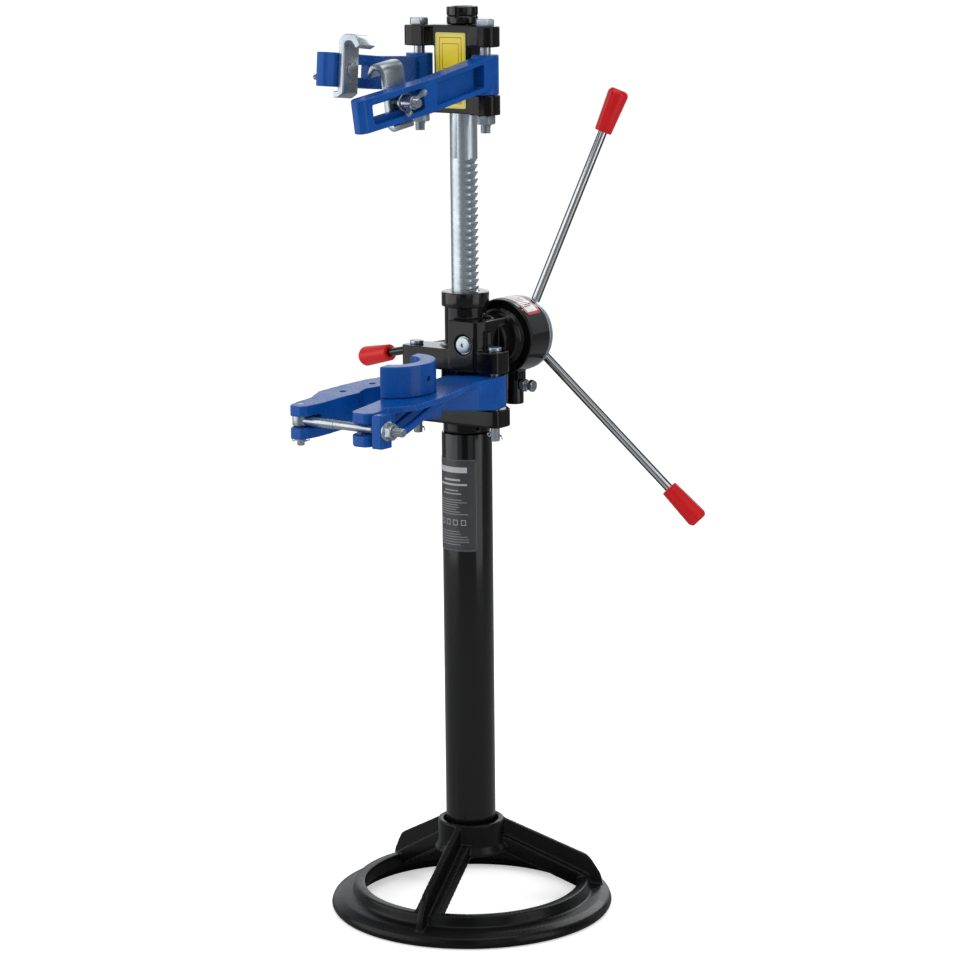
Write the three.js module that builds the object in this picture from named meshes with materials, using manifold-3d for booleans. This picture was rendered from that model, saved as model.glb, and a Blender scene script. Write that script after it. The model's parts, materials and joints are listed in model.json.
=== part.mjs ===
// Coil spring compressor for suspension struts: floor stand with a rack and pinion ram.
// Millimetres, +Z up. It is drawn about the column axis at floor level, then the group is moved so
// that its origin is the bottom centre of the bounding box. The fork arms reach to -Y (front), the
// crank handles stand at +Y (back), the rack teeth face +X (right).
import * as THREE from 'three';
import { mergeVertices } from 'three/addons/utils/BufferGeometryUtils.js';
import Module from 'manifold-3d';

const wasm = await Module();
wasm.setup();

// ---------------------------------------------------------------- driving dimensions
const BOX_CENTRE = [-18.1, -43.7];     // x, y of the bounding box centre from the column axis
const SIDES = [['left', -1], ['right', 1]];   // name, sign of x

// base and column
const BASE_R = 160;
const RING_OPEN_R = 121;
const RIM_TOP = 29;
const LEG_ANGLES = [-78, 41, 161];
const HUB_R = 37.4;
const HUB_Z = [66, 102];
const HUB_SEAT_R = 31;                 // recess in the top of the hub
const HUB_SEAT_Z = HUB_Z[1] - 9;
const TUBE_R = 28;
const TUBE_WALL = 3;
const TUBE_Z = [70.3, 548];
const LABEL_THICKNESS = 0.35;

// rack and pinion
const ROD_R = 15;
const ROD_Z = [430, 1011];
const MODULE = 2.5;
const PRESSURE_ANGLE = 20;
const PINION_TEETH = 8;
const PROFILE_SHIFT = 0.5;
const BACKLASH = 0.3;
const RACK_REF_X = 10.75;              // rack reference line
const RACK_TIP_X = RACK_REF_X + MODULE;
const RACK_ROOT_X = 7.75;
const RACK_PITCH = Math.PI * MODULE;
const RACK_GAPS = [-11, 25];           // lowest and highest gap, counted from the pinion height
const PITCH_R = MODULE * PINION_TEETH / 2;
const PINION_X = RACK_REF_X + PITCH_R + PROFILE_SHIFT * MODULE;
const PINION_Z = 650;

// hinges; z pairs are lower and upper faces
const HINGE_Y = -20;
const LOWER_PIN_X = 52;
const LOWER_PIN_HOLE_R = 5.25;
const LOWER_EARS_Z = [[561, 580], [620.5, 644]];
const UPPER_BOLT_X = 43.3;
const UPPER_BOLT_HOLE_R = 6.25;
const UPPER_EARS_Z = [[899.5, 920.8], [971.7, 993.8]];
const BRACKET_Z = [899.9, 994];

// lower arms and the tie rod between their forks
const LOWER_ARM_Z = [582, 617.5];
const LOWER_ARM_MID = (LOWER_ARM_Z[0] + LOWER_ARM_Z[1]) / 2;
const LOWER_DROOP = 0.04;              // rise per mm of +Y
const FORK_HALF_GAP = 6.4;
const TIE_EYE = [-50.9, -232.5];
const TIE_HOLE_R = 4.15;
const TIE_Z = 591;
const TIE_SLOPE = -0.04;

// upper arms: yaw in degrees, height at the hinge, slopes of both halves in mm per mm,
// hook bolt distance from the hinge, hook top above the bolt
const UPPER_HUB_Z = [921.2, 963.6];
const UPPER_HUB_R = 14.5;
const UPPER_ARM_H = 35;
const UPPER_KINK = 94;
const UPPER_LENGTH = 196;
const UPPER_ARMS = [
  { side: 'right', sign: 1, yaw: 8.6, height: 945.5, hubSlope: -0.217, tipSlope: -0.157,
    boltAt: 122.5, hookTop: 42 },
  { side: 'left', sign: -1, yaw: 4.7, height: 942.3, hubSlope: 0.06, tipSlope: 0.101,
    boltAt: 166, hookTop: 37 },
];

// load brake behind the head, pawl boss below it
const DRUM_R = 42;
const DRUM_BORE_R = 37.5;
const DRUM_Y = [34.2, 72];
const DRUM_FLOOR_Y = 40;
const PAWL_X = 25;
const PAWL_Y = 58.2;
const ADJUSTER_Z = 594;

// crank handles: lean towards +Y and angles about the pinion axis, in degrees
const HANDLE_CONE = 13.8;
const HANDLE_ANGLES = [17.6, 137.6, 257.6];
const HANDLE_LENGTH = 289;
const HANDLE_ROOT_Y = 80;

const FINISH = {
  satinBlack: { color: 0x0d0d0e, roughness: 0.25, metalness: 0.1 },
  castBlack: { color: 0x121213, roughness: 0.42, metalness: 0.1 },
  glossBlack: { color: 0x0d0d0e, roughness: 0.2, metalness: 0.1 },
  tubeBlack: { color: 0x0d0d0e, roughness: 0.18, metalness: 0.1 },
  nutBlack: { color: 0x0d0d0e, roughness: 0.35, metalness: 0.3 },
  blue: { color: 0x0b3fae, roughness: 0.3, metalness: 0.05 },
  zinc: { color: 0xb9c1c8, roughness: 0.3, metalness: 1 },
  dullZinc: { color: 0xb9c1c8, roughness: 0.35, metalness: 1 },
  steel: { color: 0xa9adb0, roughness: 0.35, metalness: 1 },
  dullSteel: { color: 0xa9adb0, roughness: 0.4, metalness: 1 },
  chrome: { color: 0xd8dadc, roughness: 0.08, metalness: 1 },
  bronze: { color: 0xa8763a, roughness: 0.35, metalness: 0.9 },
  friction: { color: 0x4a4038, roughness: 0.8, metalness: 0 },
  red: { color: 0xd11f26, roughness: 0.4, metalness: 0 },
  yellow: { color: 0xe6c81e, roughness: 0.4, metalness: 0 },
  greyLabel: { color: 0x2f3133, roughness: 0.5, metalness: 0 },
  whiteLabel: { color: 0xeceae6, roughness: 0.5, metalness: 0 },
};

// ---------------------------------------------------------------- matrices and solids
const rad = (degrees) => degrees * Math.PI / 180;
const matrix = (...rows) => new THREE.Matrix4().set(...rows);
const translate = (x, y, z) => new THREE.Matrix4().makeTranslation(x, y, z);
const spinY = (angle) => new THREE.Matrix4().makeRotationY(angle);
const spinZ = (angle) => new THREE.Matrix4().makeRotationZ(angle);
const product = (...list) => list.reduce((a, b) => a.clone().multiply(b));

function signedVolume(p, triangles) {
  let sum = 0;
  for (let i = 0; i < triangles.length; i += 3) {
    const [a, b, c] = [triangles[i] * 3, triangles[i + 1] * 3, triangles[i + 2] * 3];
    sum += p[a] * (p[b + 1] * p[c + 2] - p[b + 2] * p[c + 1])
      - p[a + 1] * (p[b] * p[c + 2] - p[b + 2] * p[c])
      + p[a + 2] * (p[b] * p[c + 1] - p[b + 1] * p[c]);
  }
  return sum / 6;
}

// closed geometry to a manifold: weld, drop collapsed triangles, face outwards
function solid(geometry) {
  geometry.deleteAttribute('normal');
  geometry.deleteAttribute('uv');
  const welded = mergeVertices(geometry, 1e-4);
  const vertProperties = new Float32Array(welded.attributes.position.array);
  const index = welded.index.array;
  const kept = [];
  for (let i = 0; i < index.length; i += 3) {
    const [a, b, c] = [index[i], index[i + 1], index[i + 2]];
    if (a !== b && b !== c && a !== c) kept.push(a, b, c);
  }
  if (signedVolume(vertProperties, kept) < 0) {
    for (let i = 0; i < kept.length; i += 3) [kept[i], kept[i + 1]] = [kept[i + 1], kept[i]];
  }
  const triVerts = new Uint32Array(kept);
  return new wasm.Manifold(new wasm.Mesh({ numProp: 3, vertProperties, triVerts }));
}

function toGeometry(manifold) {
  const mesh = manifold.getMesh();
  const geometry = new THREE.BufferGeometry();
  const positions = new Float32Array(mesh.vertProperties);
  geometry.setAttribute('position', new THREE.BufferAttribute(positions, 3));
  geometry.setIndex(new THREE.BufferAttribute(new Uint32Array(mesh.triVerts), 1));
  return geometry;
}

const place = (shape, frame) => solid(toGeometry(shape).applyMatrix4(frame));
const move = (shape, x, y, z) => place(shape, translate(x, y, z));
const union = (...list) => list.reduce((a, b) => a.add(b));
const minus = (shape, ...tools) => tools.reduce((a, b) => a.subtract(b), shape);

// ---------------------------------------------------------------- basic shapes
// upright cylinder
function cyl(r, z0, z1, x = 0, y = 0, facets = 16) {
  const geometry = new THREE.CylinderGeometry(r, r, z1 - z0, facets);
  geometry.rotateX(Math.PI / 2);
  geometry.translate(x, y, (z0 + z1) / 2);
  return solid(geometry);
}

// cylinder between two points
function rod(from, to, r, facets = 12) {
  const start = new THREE.Vector3(...from);
  const end = new THREE.Vector3(...to);
  const span = end.clone().sub(start);
  const geometry = new THREE.CylinderGeometry(r, r, span.length(), facets);
  const up = new THREE.Vector3(0, 1, 0);
  const turn = new THREE.Quaternion().setFromUnitVectors(up, span.clone().normalize());
  geometry.applyQuaternion(turn);
  const middle = start.add(end).multiplyScalar(0.5);
  geometry.translate(middle.x, middle.y, middle.z);
  return solid(geometry);
}
const rodX = (x0, x1, y, z, r, facets) => rod([x0, y, z], [x1, y, z], r, facets);
const rodY = (x, y0, y1, z, r, facets) => rod([x, y0, z], [x, y1, z], r, facets);

function box(x0, x1, y0, y1, z0, z1) {
  const geometry = new THREE.BoxGeometry(x1 - x0, y1 - y0, z1 - z0);
  geometry.translate((x0 + x1) / 2, (y0 + y1) / 2, (z0 + z1) / 2);
  return solid(geometry);
}

// polygon [[x, y, corner radius], ...] to points; each rounded corner takes `steps` chords
function rounded(corners, steps) {
  const out = [];
  const count = corners.length;
  corners.forEach(([x, y, r = 0], i) => {
    const corner = new THREE.Vector2(x, y);
    if (!r) {
      out.push(corner);
      return;
    }
    const before = corners[(i + count - 1) % count];
    const after = corners[(i + 1) % count];
    const back = new THREE.Vector2(before[0] - x, before[1] - y);
    const ahead = new THREE.Vector2(after[0] - x, after[1] - y);
    const lengths = [back.length(), ahead.length()];
    back.normalize();
    ahead.normalize();
    const half = Math.acos(Math.max(-1, Math.min(1, back.dot(ahead)))) / 2;
    // the arc takes less than half of either edge
    const cut = Math.min(r / Math.tan(half), lengths[0] * 0.49, lengths[1] * 0.49);
    const radius = cut * Math.tan(half);
    const centre = back.clone().add(ahead).normalize()
      .multiplyScalar(radius / Math.sin(half)).add(corner);
    const start = back.multiplyScalar(cut).add(corner).sub(centre);
    const end = ahead.multiplyScalar(cut).add(corner).sub(centre);
    const angle = Math.atan2(start.y, start.x);
    let sweep = Math.atan2(end.y, end.x) - angle;
    while (sweep > Math.PI) sweep -= 2 * Math.PI;
    while (sweep < -Math.PI) sweep += 2 * Math.PI;
    for (let k = 0; k <= steps; k++) {
      out.push(new THREE.Vector2(...polar(radius, angle + sweep * k / steps, centre.x, centre.y)));
    }
  });
  return out;
}

// polygon in XY from z0 to z1
function prism(corners, z0, z1, steps = 2) {
  const shape = new THREE.Shape(rounded(corners, steps));
  const geometry = new THREE.ExtrudeGeometry(shape, { depth: z1 - z0, bevelEnabled: false });
  geometry.translate(0, 0, z0);
  return solid(geometry);
}
// polygon in XZ from y0 to y1
const prismY = (corners, y0, y1, steps) =>
  place(prism(corners, y0, y1, steps), matrix(1, 0, 0, 0, 0, 0, 1, 0, 0, 1, 0, 0, 0, 0, 0, 1));
// polygon in YZ from x0 to x1
const prismX = (corners, x0, x1, steps) =>
  place(prism(corners, x0, x1, steps), matrix(0, 0, 1, 0, 1, 0, 0, 0, 0, 1, 0, 0, 0, 0, 0, 1));

// solid turned about Z from [[r, z], ...], closed on itself unless both ends lie on the axis
function turned(profile, facets = 24) {
  const points = profile.map(([r, z]) => new THREE.Vector2(r, z));
  if (profile[0][0] !== 0 || profile.at(-1)[0] !== 0) points.push(points[0].clone());
  const geometry = new THREE.LatheGeometry(points, facets);
  geometry.rotateX(Math.PI / 2);
  return solid(geometry);
}
// solid turned about the line along Y at (x, z) from [[r, y], ...]
const turnedY = (profile, facets, x = 0, z = 0) =>
  place(turned(profile, facets), product(translate(x, 0, z),
    new THREE.Matrix4().makeRotationX(-Math.PI / 2)));
const aboutPinion = (profile, facets) => turnedY(profile, facets, PINION_X, PINION_Z);
// upright shape laid along +X from (x, y, z)
const alongX = (shape, x = 0, y = 0, z = 0) =>
  place(shape, product(translate(x, y, z), spinY(Math.PI / 2)));

// rectangular turning profile
const band = (inner, outer, from, to) => [[inner, from], [outer, from], [outer, to], [inner, to]];

function polar(r, angle, x = 0, y = 0) {
  return [x + r * Math.cos(angle), y + r * Math.sin(angle)];
}

const hexPoints = (acrossFlats, x = 0, y = 0, rotation = 0) =>
  Array.from({ length: 6 }, (_, i) =>
    polar(acrossFlats / Math.sqrt(3), rad(60 * i + rotation), x, y));
const hex = (acrossFlats, z0, z1, x, y, rotation) =>
  prism(hexPoints(acrossFlats, x, y, rotation), z0, z1);

// curved label section from inner radius r, angles in degrees
function labelArc(r, from, to, steps, x, y) {
  const angles = Array.from({ length: steps + 1 }, (_, i) => rad(from + (to - from) * i / steps));
  return [
    ...angles.map((angle) => polar(r + LABEL_THICKNESS, angle, x, y)),
    ...angles.reverse().map((angle) => polar(r, angle, x, y)),
  ];
}

// outline symmetric about x = 0 from the corners of its +X half, listed front to back
const symmetric = (half) => [...half, ...half.map(([x, y, r]) => [-x, y, r]).reverse()];

const compressor = new THREE.Group();
function addPiece(name, shape, finish) {
  const mesh = new THREE.Mesh(toGeometry(shape), new THREE.MeshStandardMaterial(finish));
  mesh.name = name;
  compressor.add(mesh);
}

// ---------------------------------------------------------------- base and column
const RING_PROFILE = [   // r, z
  [RING_OPEN_R, 13], [128, 11.5], [133.5, 0], [157, 0], [BASE_R, 5], [157.5, 11.5],
  [148, 15.4], [135.4, 17.4], [132.6, RIM_TOP], [RING_OPEN_R, RIM_TOP],
];
const LEG_FIN = [        // distance from the axis, z, corner radius
  [30, 100.5], [37, 100.5], [136, 50, 20], [150.5, 25, 16], [151, 14], [134, 12],
  [124, 20], [30, 70],
];
const LEG_PLATE = [      // distance from the axis, z
  [30, 82], [40, 79], [128, 31], [128, 20], [118, 18], [34, 64], [30, 66],
];

function baseCasting() {
  const [bottom, top] = HUB_Z;
  const bore = 20;
  const socketR = TUBE_R + 0.3;
  const socketZ = TUBE_Z[0] - 0.3;
  const hub = turned([
    [bore, bottom], [43, bottom], [HUB_R, bottom + 9], [HUB_R, top], [HUB_SEAT_R, top],
    [HUB_SEAT_R, HUB_SEAT_Z], [socketR, HUB_SEAT_Z], [socketR, socketZ], [bore, socketZ],
  ]);
  let body = union(turned(RING_PROFILE, 44), hub);
  for (const degrees of LEG_ANGLES) {
    const spin = spinZ(rad(degrees));
    body = body.add(place(prismY(LEG_FIN, -3.6, 3.6), spin));
    body = body.add(place(prismY(LEG_PLATE, -14, 14), spin));
  }
  // the legs run into the hub, so its stepped bore is cut again
  return body.subtract(union(
    turned(band(0, HUB_SEAT_R, HUB_SEAT_Z, top + 20)),
    turned(band(0, socketR, socketZ, top)),
    cyl(bore, 40, TUBE_Z[0], 0, 0, 24),
  ));
}

addPiece('base_casting', baseCasting(), FINISH.castBlack);
addPiece('column_tube', turned(band(TUBE_R - TUBE_WALL, TUBE_R, ...TUBE_Z)), FINISH.tubeBlack);
addPiece('column_label', prism(labelArc(TUBE_R + 0.15, -146, -33, 18), 416.5, 520.5),
  FINISH.greyLabel);

// ---------------------------------------------------------------- head casting
// outlines: x, y, corner radius
const LOWER_EAR_HALF = [[52, -35.5, 6], [64.5, -34, 10], [64.5, -8, 10], [30, 24, 10]];
const UPPER_EAR_PLATE = [
  [-52, -35.5, 6], [-4, -36.8, 0], [52, -35.5, 6], [64.5, -34, 12], [64.5, -6, 12],
  [40, 4, 6], [-20, 12, 8], [-64.5, -4, 10], [-64.5, -34, 10],
];
const PINION_BLOCK = [[0.5, -37, 3], [38.5, -37, 6], [44, -24, 6], [44, 20, 6], [0.5, 20, 3]];
// turned about the pinion axis: r, y
const REAR_NECK = [[0, 0], [30, 0], [28.2, 14], [27.6, 24], [30, 31], [33, 33.9], [0, 33.9]];
const PINION_CHAMBER = [
  [0, -33.6], [10.1, -33.6], [10.1, -13.3], [14.9, -13.3], [14.9, 13.3], [15.1, 13.3],
  [15.1, 36], [0, 36],
];
const SCREW_SEAT = [[0, -40], [11, -40], [11, -33.9], [9, -33.9], [9, -30], [0, -30]];

function headCasting() {
  const [lowerEar, upperEar] = LOWER_EARS_Z;
  const neckR = 26;
  const neckZ = TUBE_Z[1] + 0.3;
  let body = union(
    cyl(23.6, 500, neckZ, 0, 0, 20),              // spigot in the tube
    cyl(neckR, neckZ, lowerEar[0] + 1, 0, 0, 20),
    cyl(27.5, lowerEar[0], 646, 0, 0, 20),
    cyl(23, 645, 688, 0, 0, 20),
    prism(symmetric(LOWER_EAR_HALF), ...lowerEar),
    prism(UPPER_EAR_PLATE, ...upperEar),
    prism(PINION_BLOCK, upperEar[0], 676),
    aboutPinion(REAR_NECK, 20),
  );
  body = minus(
    body,
    // room for the pin head above the right ear
    cyl(11.5, upperEar[1], 665, LOWER_PIN_X + 1, HINGE_Y - 2, 12),
    prism([[45, -40], [80, -40], [80, -2], [45, -8]], upperEar[1], 690),
    cyl(ROD_R + 0.3, 495, 692, 0, 0, 20),
    aboutPinion(PINION_CHAMBER, 20),
    aboutPinion(SCREW_SEAT, 16),
  );
  // pin holes, and slots between the ears for the arm hubs
  for (const [, sign] of SIDES) {
    const x = sign * LOWER_PIN_X;
    body = body.subtract(cyl(LOWER_PIN_HOLE_R, 540, 670, x, HINGE_Y, 12));
    body = body.subtract(cyl(14.9, lowerEar[1], upperEar[0], x, HINGE_Y));
  }
  // radial hole in the neck
  const angle = rad(-28);
  const holeEnd = (r) => [...polar(r, angle), 554.5];
  return body.subtract(rod(holeEnd(neckR * 1.1), holeEnd(neckR * 0.8), 2.3, 8));
}

const COLLAR_BORE_R = ROD_R + 0.15;
const COLLAR_PROFILE = [
  [COLLAR_BORE_R, 688.3], [26.2, 688.3], [26.2, 703], [25.2, 704], [16.5, 704],
  [COLLAR_BORE_R, 703],
];

addPiece('head_casting', headCasting(), FINISH.glossBlack);
addPiece('guide_collar', turned(COLLAR_PROFILE), FINISH.glossBlack);
addPiece('bearing_bush_front', aboutPinion(band(7.16, 10, -33.3, -13.6), 20), FINISH.bronze);
addPiece('bearing_bush_rear', aboutPinion(band(8.22, 15, 13.6, 33.6), 20), FINISH.bronze);

// ---------------------------------------------------------------- brake housing and pawl
const pawlCyl = (r, z0, z1, facets = 12) => cyl(r, z0, z1, PAWL_X, PAWL_Y, facets);
// cross rod at the adjuster height, ends measured from the pawl axis
const adjusterRod = (from, to, r) =>
  rodX(PAWL_X + from, PAWL_X + to, PAWL_Y, ADJUSTER_Z, r, 8);
const adjusterHex = (acrossFlats, from, length) =>
  alongX(hex(acrossFlats, 0, length), PAWL_X + from, PAWL_Y, ADJUSTER_Z);
const LOCK_NUT_BORE_R = 4.05;

function brakeHousing() {
  const [front, rear] = DRUM_Y;
  const cup = aboutPinion([
    [17, front], [DRUM_R - 1.5, front], [DRUM_R, front + 1.5], [DRUM_R, rear],
    [DRUM_BORE_R, rear], [DRUM_BORE_R, DRUM_FLOOR_Y], [17, DRUM_FLOOR_Y],
  ]);
  const bossR = 10.2;
  const [x0, x1] = [PAWL_X - bossR, PAWL_X + bossR];
  const [y0, y1] = [PAWL_Y - 8, PAWL_Y + 8];
  const boss = pawlCyl(bossR, 572.5, 612, 16)
    .add(prism([[x0, y0], [x1, y0], [x1, y1], [x0, y1]], 600, 612));
  return minus(
    union(cup, boss),
    aboutPinion(band(0, DRUM_BORE_R, DRUM_FLOOR_Y, 80)),
    pawlCyl(4.15, 580, 620),
    pawlCyl(5.6, 560, 603.2),
    adjusterRod(4, 14, LOCK_NUT_BORE_R),
  );
}

// stepped plunger with flats on its +X and -X sides at the top
function pawlPlunger() {
  const flat = (from, to) =>
    box(PAWL_X + from, PAWL_X + to, PAWL_Y - 6, PAWL_Y + 6, 612, 620);
  const body = union(pawlCyl(4, 600.6, 618.2), pawlCyl(5.3, 596.2, 599.8), pawlCyl(4, 599, 601));
  return minus(body, flat(-6, -2.2), flat(2.2, 6));
}

class PawlCoil extends THREE.Curve {
  getPoint(t, target = new THREE.Vector3()) {
    const turns = 3.5;
    const [x, y] = polar(3.9, t * 2 * Math.PI * turns, PAWL_X, PAWL_Y);
    return target.set(x, y, 582.5 + 12.2 * t);
  }
}

function pawlSpring() {
  const wire = new THREE.Shape();
  wire.absarc(0, 0, 0.7, 0, Math.PI * 2, false);
  const extrudePath = new PawlCoil();
  return solid(new THREE.ExtrudeGeometry(wire,
    { steps: 24, bevelEnabled: false, extrudePath, curveSegments: 3 }));
}

const brakeLabel = prismY(labelArc(DRUM_R + 0.2, 38, 128, 14, PINION_X, PINION_Z), 41, 66);
const pawlPlug = minus(pawlCyl(5.4, 573, 581), hex(5, 570, 576, PAWL_X, PAWL_Y));
const adjusterBolt = union(adjusterRod(6.2, 21.5, 3.9), adjusterHex(12, 21, 5.2));
const lockNut = minus(adjusterHex(13, 10.6, 5.5), adjusterRod(9, 20, LOCK_NUT_BORE_R));

addPiece('brake_housing', brakeHousing(), FINISH.glossBlack);
addPiece('brake_label', brakeLabel, FINISH.whiteLabel);
addPiece('pawl_plunger', pawlPlunger(), FINISH.steel);
addPiece('pawl_spring', pawlSpring(), FINISH.steel);
addPiece('pawl_plug', pawlPlug, FINISH.dullSteel);
addPiece('adjuster_bolt', adjusterBolt, FINISH.dullZinc);
addPiece('adjuster_lock_nut', lockNut, FINISH.dullZinc);

// ---------------------------------------------------------------- lower hinge pins
const LOWER_PIN_PROFILE = [
  [0, 544.5], [4.2, 544.5], [5, 545.5], [5, 644.2], [7.6, 644.3], [7.6, 647.6],
  [6.8, 648.3], [0, 648.3],
];
const COTTER_Z = 551;

for (const [side, sign] of SIDES) {
  const x = sign * LOWER_PIN_X;
  const pin = move(turned(LOWER_PIN_PROFILE, 12), x, HINGE_Y, 0)
    .subtract(rodX(x - 9, x + 9, HINGE_Y, COTTER_Z, 1.5, 8));
  // split pin: cross head at -X, straight legs, one end bent down at +X
  const cotter = union(
    rodY(x - 8.2, HINGE_Y - 1.6, HINGE_Y + 1.6, COTTER_Z, 2.6, 8),
    rodX(x - 7.5, x + 8.2, HINGE_Y, COTTER_Z, 1.2, 8),
    rod([x + 7.6, HINGE_Y, COTTER_Z + 0.4], [x + 9.6, HINGE_Y, COTTER_Z - 4.6], 1, 8),
  );
  addPiece('lower_pin_' + side, pin, FINISH.zinc);
  addPiece('cotter_' + side, cotter, FINISH.dullZinc);
}

// ---------------------------------------------------------------- pinion shaft
const SHAFT_PROFILE = [   // r, y; the disc at y 43.5 to 50 backs the load brake
  [0, -33.9], [6.4, -33.9], [7, -33.3], [7, -12.5], [8, -12.5], [8, 43.5], [28, 43.5],
  [28, 50], [8, 50], [8, 66], [6, 66], [6, 100], [0, 100],
];
const SCREW_PROFILE = [
  [0, -38], [8.2, -38], [8.8, -37.4], [8.8, -35.6], [3.9, -35.6], [3.9, -25], [0, -25],
];

// involute teeth, one of them pointing at the rack
function pinionOutline() {
  const involute = (angle) => Math.tan(angle) - angle;
  const alpha = rad(PRESSURE_ANGLE);
  const baseR = PITCH_R * Math.cos(alpha);
  const rootR = 8.2;
  const rootFlare = 0.05;   // radians added on each side of a tooth at the root
  const flank = [baseR, 10.2, 11.6, 13.25];
  const thickness = MODULE * (Math.PI / 2 + 2 * PROFILE_SHIFT * Math.tan(alpha)) - BACKLASH;
  const halfAngle = (r) => thickness / (2 * PITCH_R) + involute(alpha)
    - involute(Math.acos(Math.min(1, baseR / r)));
  const rootAngle = halfAngle(baseR) + rootFlare;
  const points = [];
  for (let k = 0; k < PINION_TEETH; k++) {
    const centre = Math.PI + k * 2 * Math.PI / PINION_TEETH;
    const add = (r, angle) => points.push(polar(r, centre + angle, PINION_X, PINION_Z));
    add(rootR, -rootAngle);
    for (const r of flank) add(r, -halfAngle(r));
    for (const r of flank.toReversed()) add(r, halfAngle(r));
    add(rootR, rootAngle);
  }
  return points;
}

const pinionShaft = prismY(pinionOutline(), -12.4, 12.4)
  .add(aboutPinion(SHAFT_PROFILE, 16))
  .subtract(rodY(PINION_X, -40, -24, PINION_Z, 4.4, 8));
const pinionScrew = aboutPinion(SCREW_PROFILE, 12)
  .subtract(prismY(hexPoints(4.5, PINION_X, PINION_Z), -42, -36.2));

addPiece('pinion_shaft', pinionShaft, FINISH.steel);
addPiece('pinion_washer', aboutPinion(band(4.4, 10, -35.5, -34.2), 16), FINISH.dullZinc);
addPiece('pinion_screw', pinionScrew, FINISH.zinc);

// ---------------------------------------------------------------- load brake
const RATCHET_TEETH = 12;
const RATCHET_TIP_R = 31;
const RATCHET_ROOT_R = 26.6;
const RATCHET_TOOTH = [   // r, angle from the gap centre as a fraction of the tooth pitch
  [RATCHET_ROOT_R, -0.3], [RATCHET_ROOT_R, 0.25], [RATCHET_TIP_R, 0.58], [RATCHET_TIP_R, 0.68],
];

function ratchetWheel() {
  const pitch = 2 * Math.PI / RATCHET_TEETH;
  // a tooth gap faces the plunger
  const start = Math.atan2(-RATCHET_TIP_R, PAWL_X - PINION_X);
  const points = [];
  for (let k = 0; k < RATCHET_TEETH; k++) {
    for (const [r, part] of RATCHET_TOOTH) {
      points.push(polar(r, start + (k + part) * pitch, PINION_X, PINION_Z));
    }
  }
  return prismY(points, PAWL_Y - 4, PAWL_Y + 4)
    .subtract(rodY(PINION_X, 50, 66, PINION_Z, 8.3));
}

addPiece('ratchet_wheel', ratchetWheel(), FINISH.dullSteel);
addPiece('friction_disc_inner', aboutPinion(band(8.3, 26, 50.3, 53.9), 16), FINISH.friction);
addPiece('friction_disc_outer', aboutPinion(band(8.3, 26, 62.5, 66), 16), FINISH.friction);

// ---------------------------------------------------------------- handle hub, rods and grips
const HANDLE_HUB_PROFILE = [   // r, y
  [6.3, 66.3], [28, 66.3], [28, 71], [20, 71], [20, 72.4], [41, 72.4], [41.6, 73.2],
  [41.6, 77.4], [40.6, 78.4], [26, 78.4], [24, 80.4], [24, 95], [22, 97.5], [6.3, 97.5],
];
const GRIP_LENGTH = 50;
const GRIP_PROFILE = [         // r, distance along the handle
  [5.15, 0], [9.3, 0], [9.9, 1], [11.9, 45.5], [11.2, 48.6], [9, GRIP_LENGTH],
  [0, GRIP_LENGTH], [0, 44.6], [5.15, 44.6],
];

function handleDirection(degrees) {
  const [across, lean] = polar(1, rad(HANDLE_CONE));
  return new THREE.Vector3(across * Math.sin(rad(degrees)), lean, across * Math.cos(rad(degrees)));
}
function handlePoint(degrees, distance) {
  const { x, y, z } = handleDirection(degrees);
  return [PINION_X + x * distance, HANDLE_ROOT_Y + y * distance, PINION_Z + z * distance];
}
const handleRod = (degrees, from, to, r) =>
  rod(handlePoint(degrees, from), handlePoint(degrees, to), r);

function grip(degrees) {
  const up = new THREE.Vector3(0, 0, 1);
  const turn = new THREE.Quaternion().setFromUnitVectors(up, handleDirection(degrees));
  const start = translate(...handlePoint(degrees, HANDLE_LENGTH - GRIP_LENGTH));
  const aim = new THREE.Matrix4().makeRotationFromQuaternion(turn);
  return place(turned(GRIP_PROFILE, 16), product(start, aim));
}

const handleHub = minus(aboutPinion(HANDLE_HUB_PROFILE),
  ...HANDLE_ANGLES.map((degrees) => handleRod(degrees, 11, 40, 5.15)));
const hubNut = prismY(hexPoints(21, PINION_X, PINION_Z), 97.8, 105)
  .subtract(aboutPinion(band(0, 6.3, 96, 108), 12));

addPiece('handle_hub', handleHub, FINISH.dullZinc);
addPiece('hub_nut', hubNut, FINISH.dullZinc);
HANDLE_ANGLES.forEach((degrees, i) => {
  const shaft = handleRod(degrees, 13, HANDLE_LENGTH - 6, 5);
  addPiece(`handle_rod_${i + 1}`, shaft, FINISH.chrome);
  addPiece(`grip_${i + 1}`, grip(degrees), FINISH.red);
});

// ---------------------------------------------------------------- rack rod
// everything on the +X side of the teeth, as one cutting outline in XZ
function rackCutter() {
  const slope = Math.tan(rad(PRESSURE_ANGLE));
  const halfTip = RACK_PITCH / 4 + (RACK_TIP_X - RACK_REF_X) * slope;
  const halfRoot = RACK_PITCH / 4 - (RACK_REF_X - RACK_ROOT_X) * slope;
  const endLand = halfTip + 1.2;
  const outerX = 20;
  const [low, high] = RACK_GAPS.map((gap) => PINION_Z + gap * RACK_PITCH);
  const points = [[outerX, low - endLand], [RACK_TIP_X, low - endLand]];
  for (let k = RACK_GAPS[0]; k <= RACK_GAPS[1]; k++) {
    const z = PINION_Z + k * RACK_PITCH;
    points.push([RACK_TIP_X, z - halfTip], [RACK_ROOT_X, z - halfRoot],
      [RACK_ROOT_X, z + halfRoot], [RACK_TIP_X, z + halfTip]);
  }
  points.push([RACK_TIP_X, high + endLand], [outerX, high + endLand]);
  return prismY(points, -16, 16);
}

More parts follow.
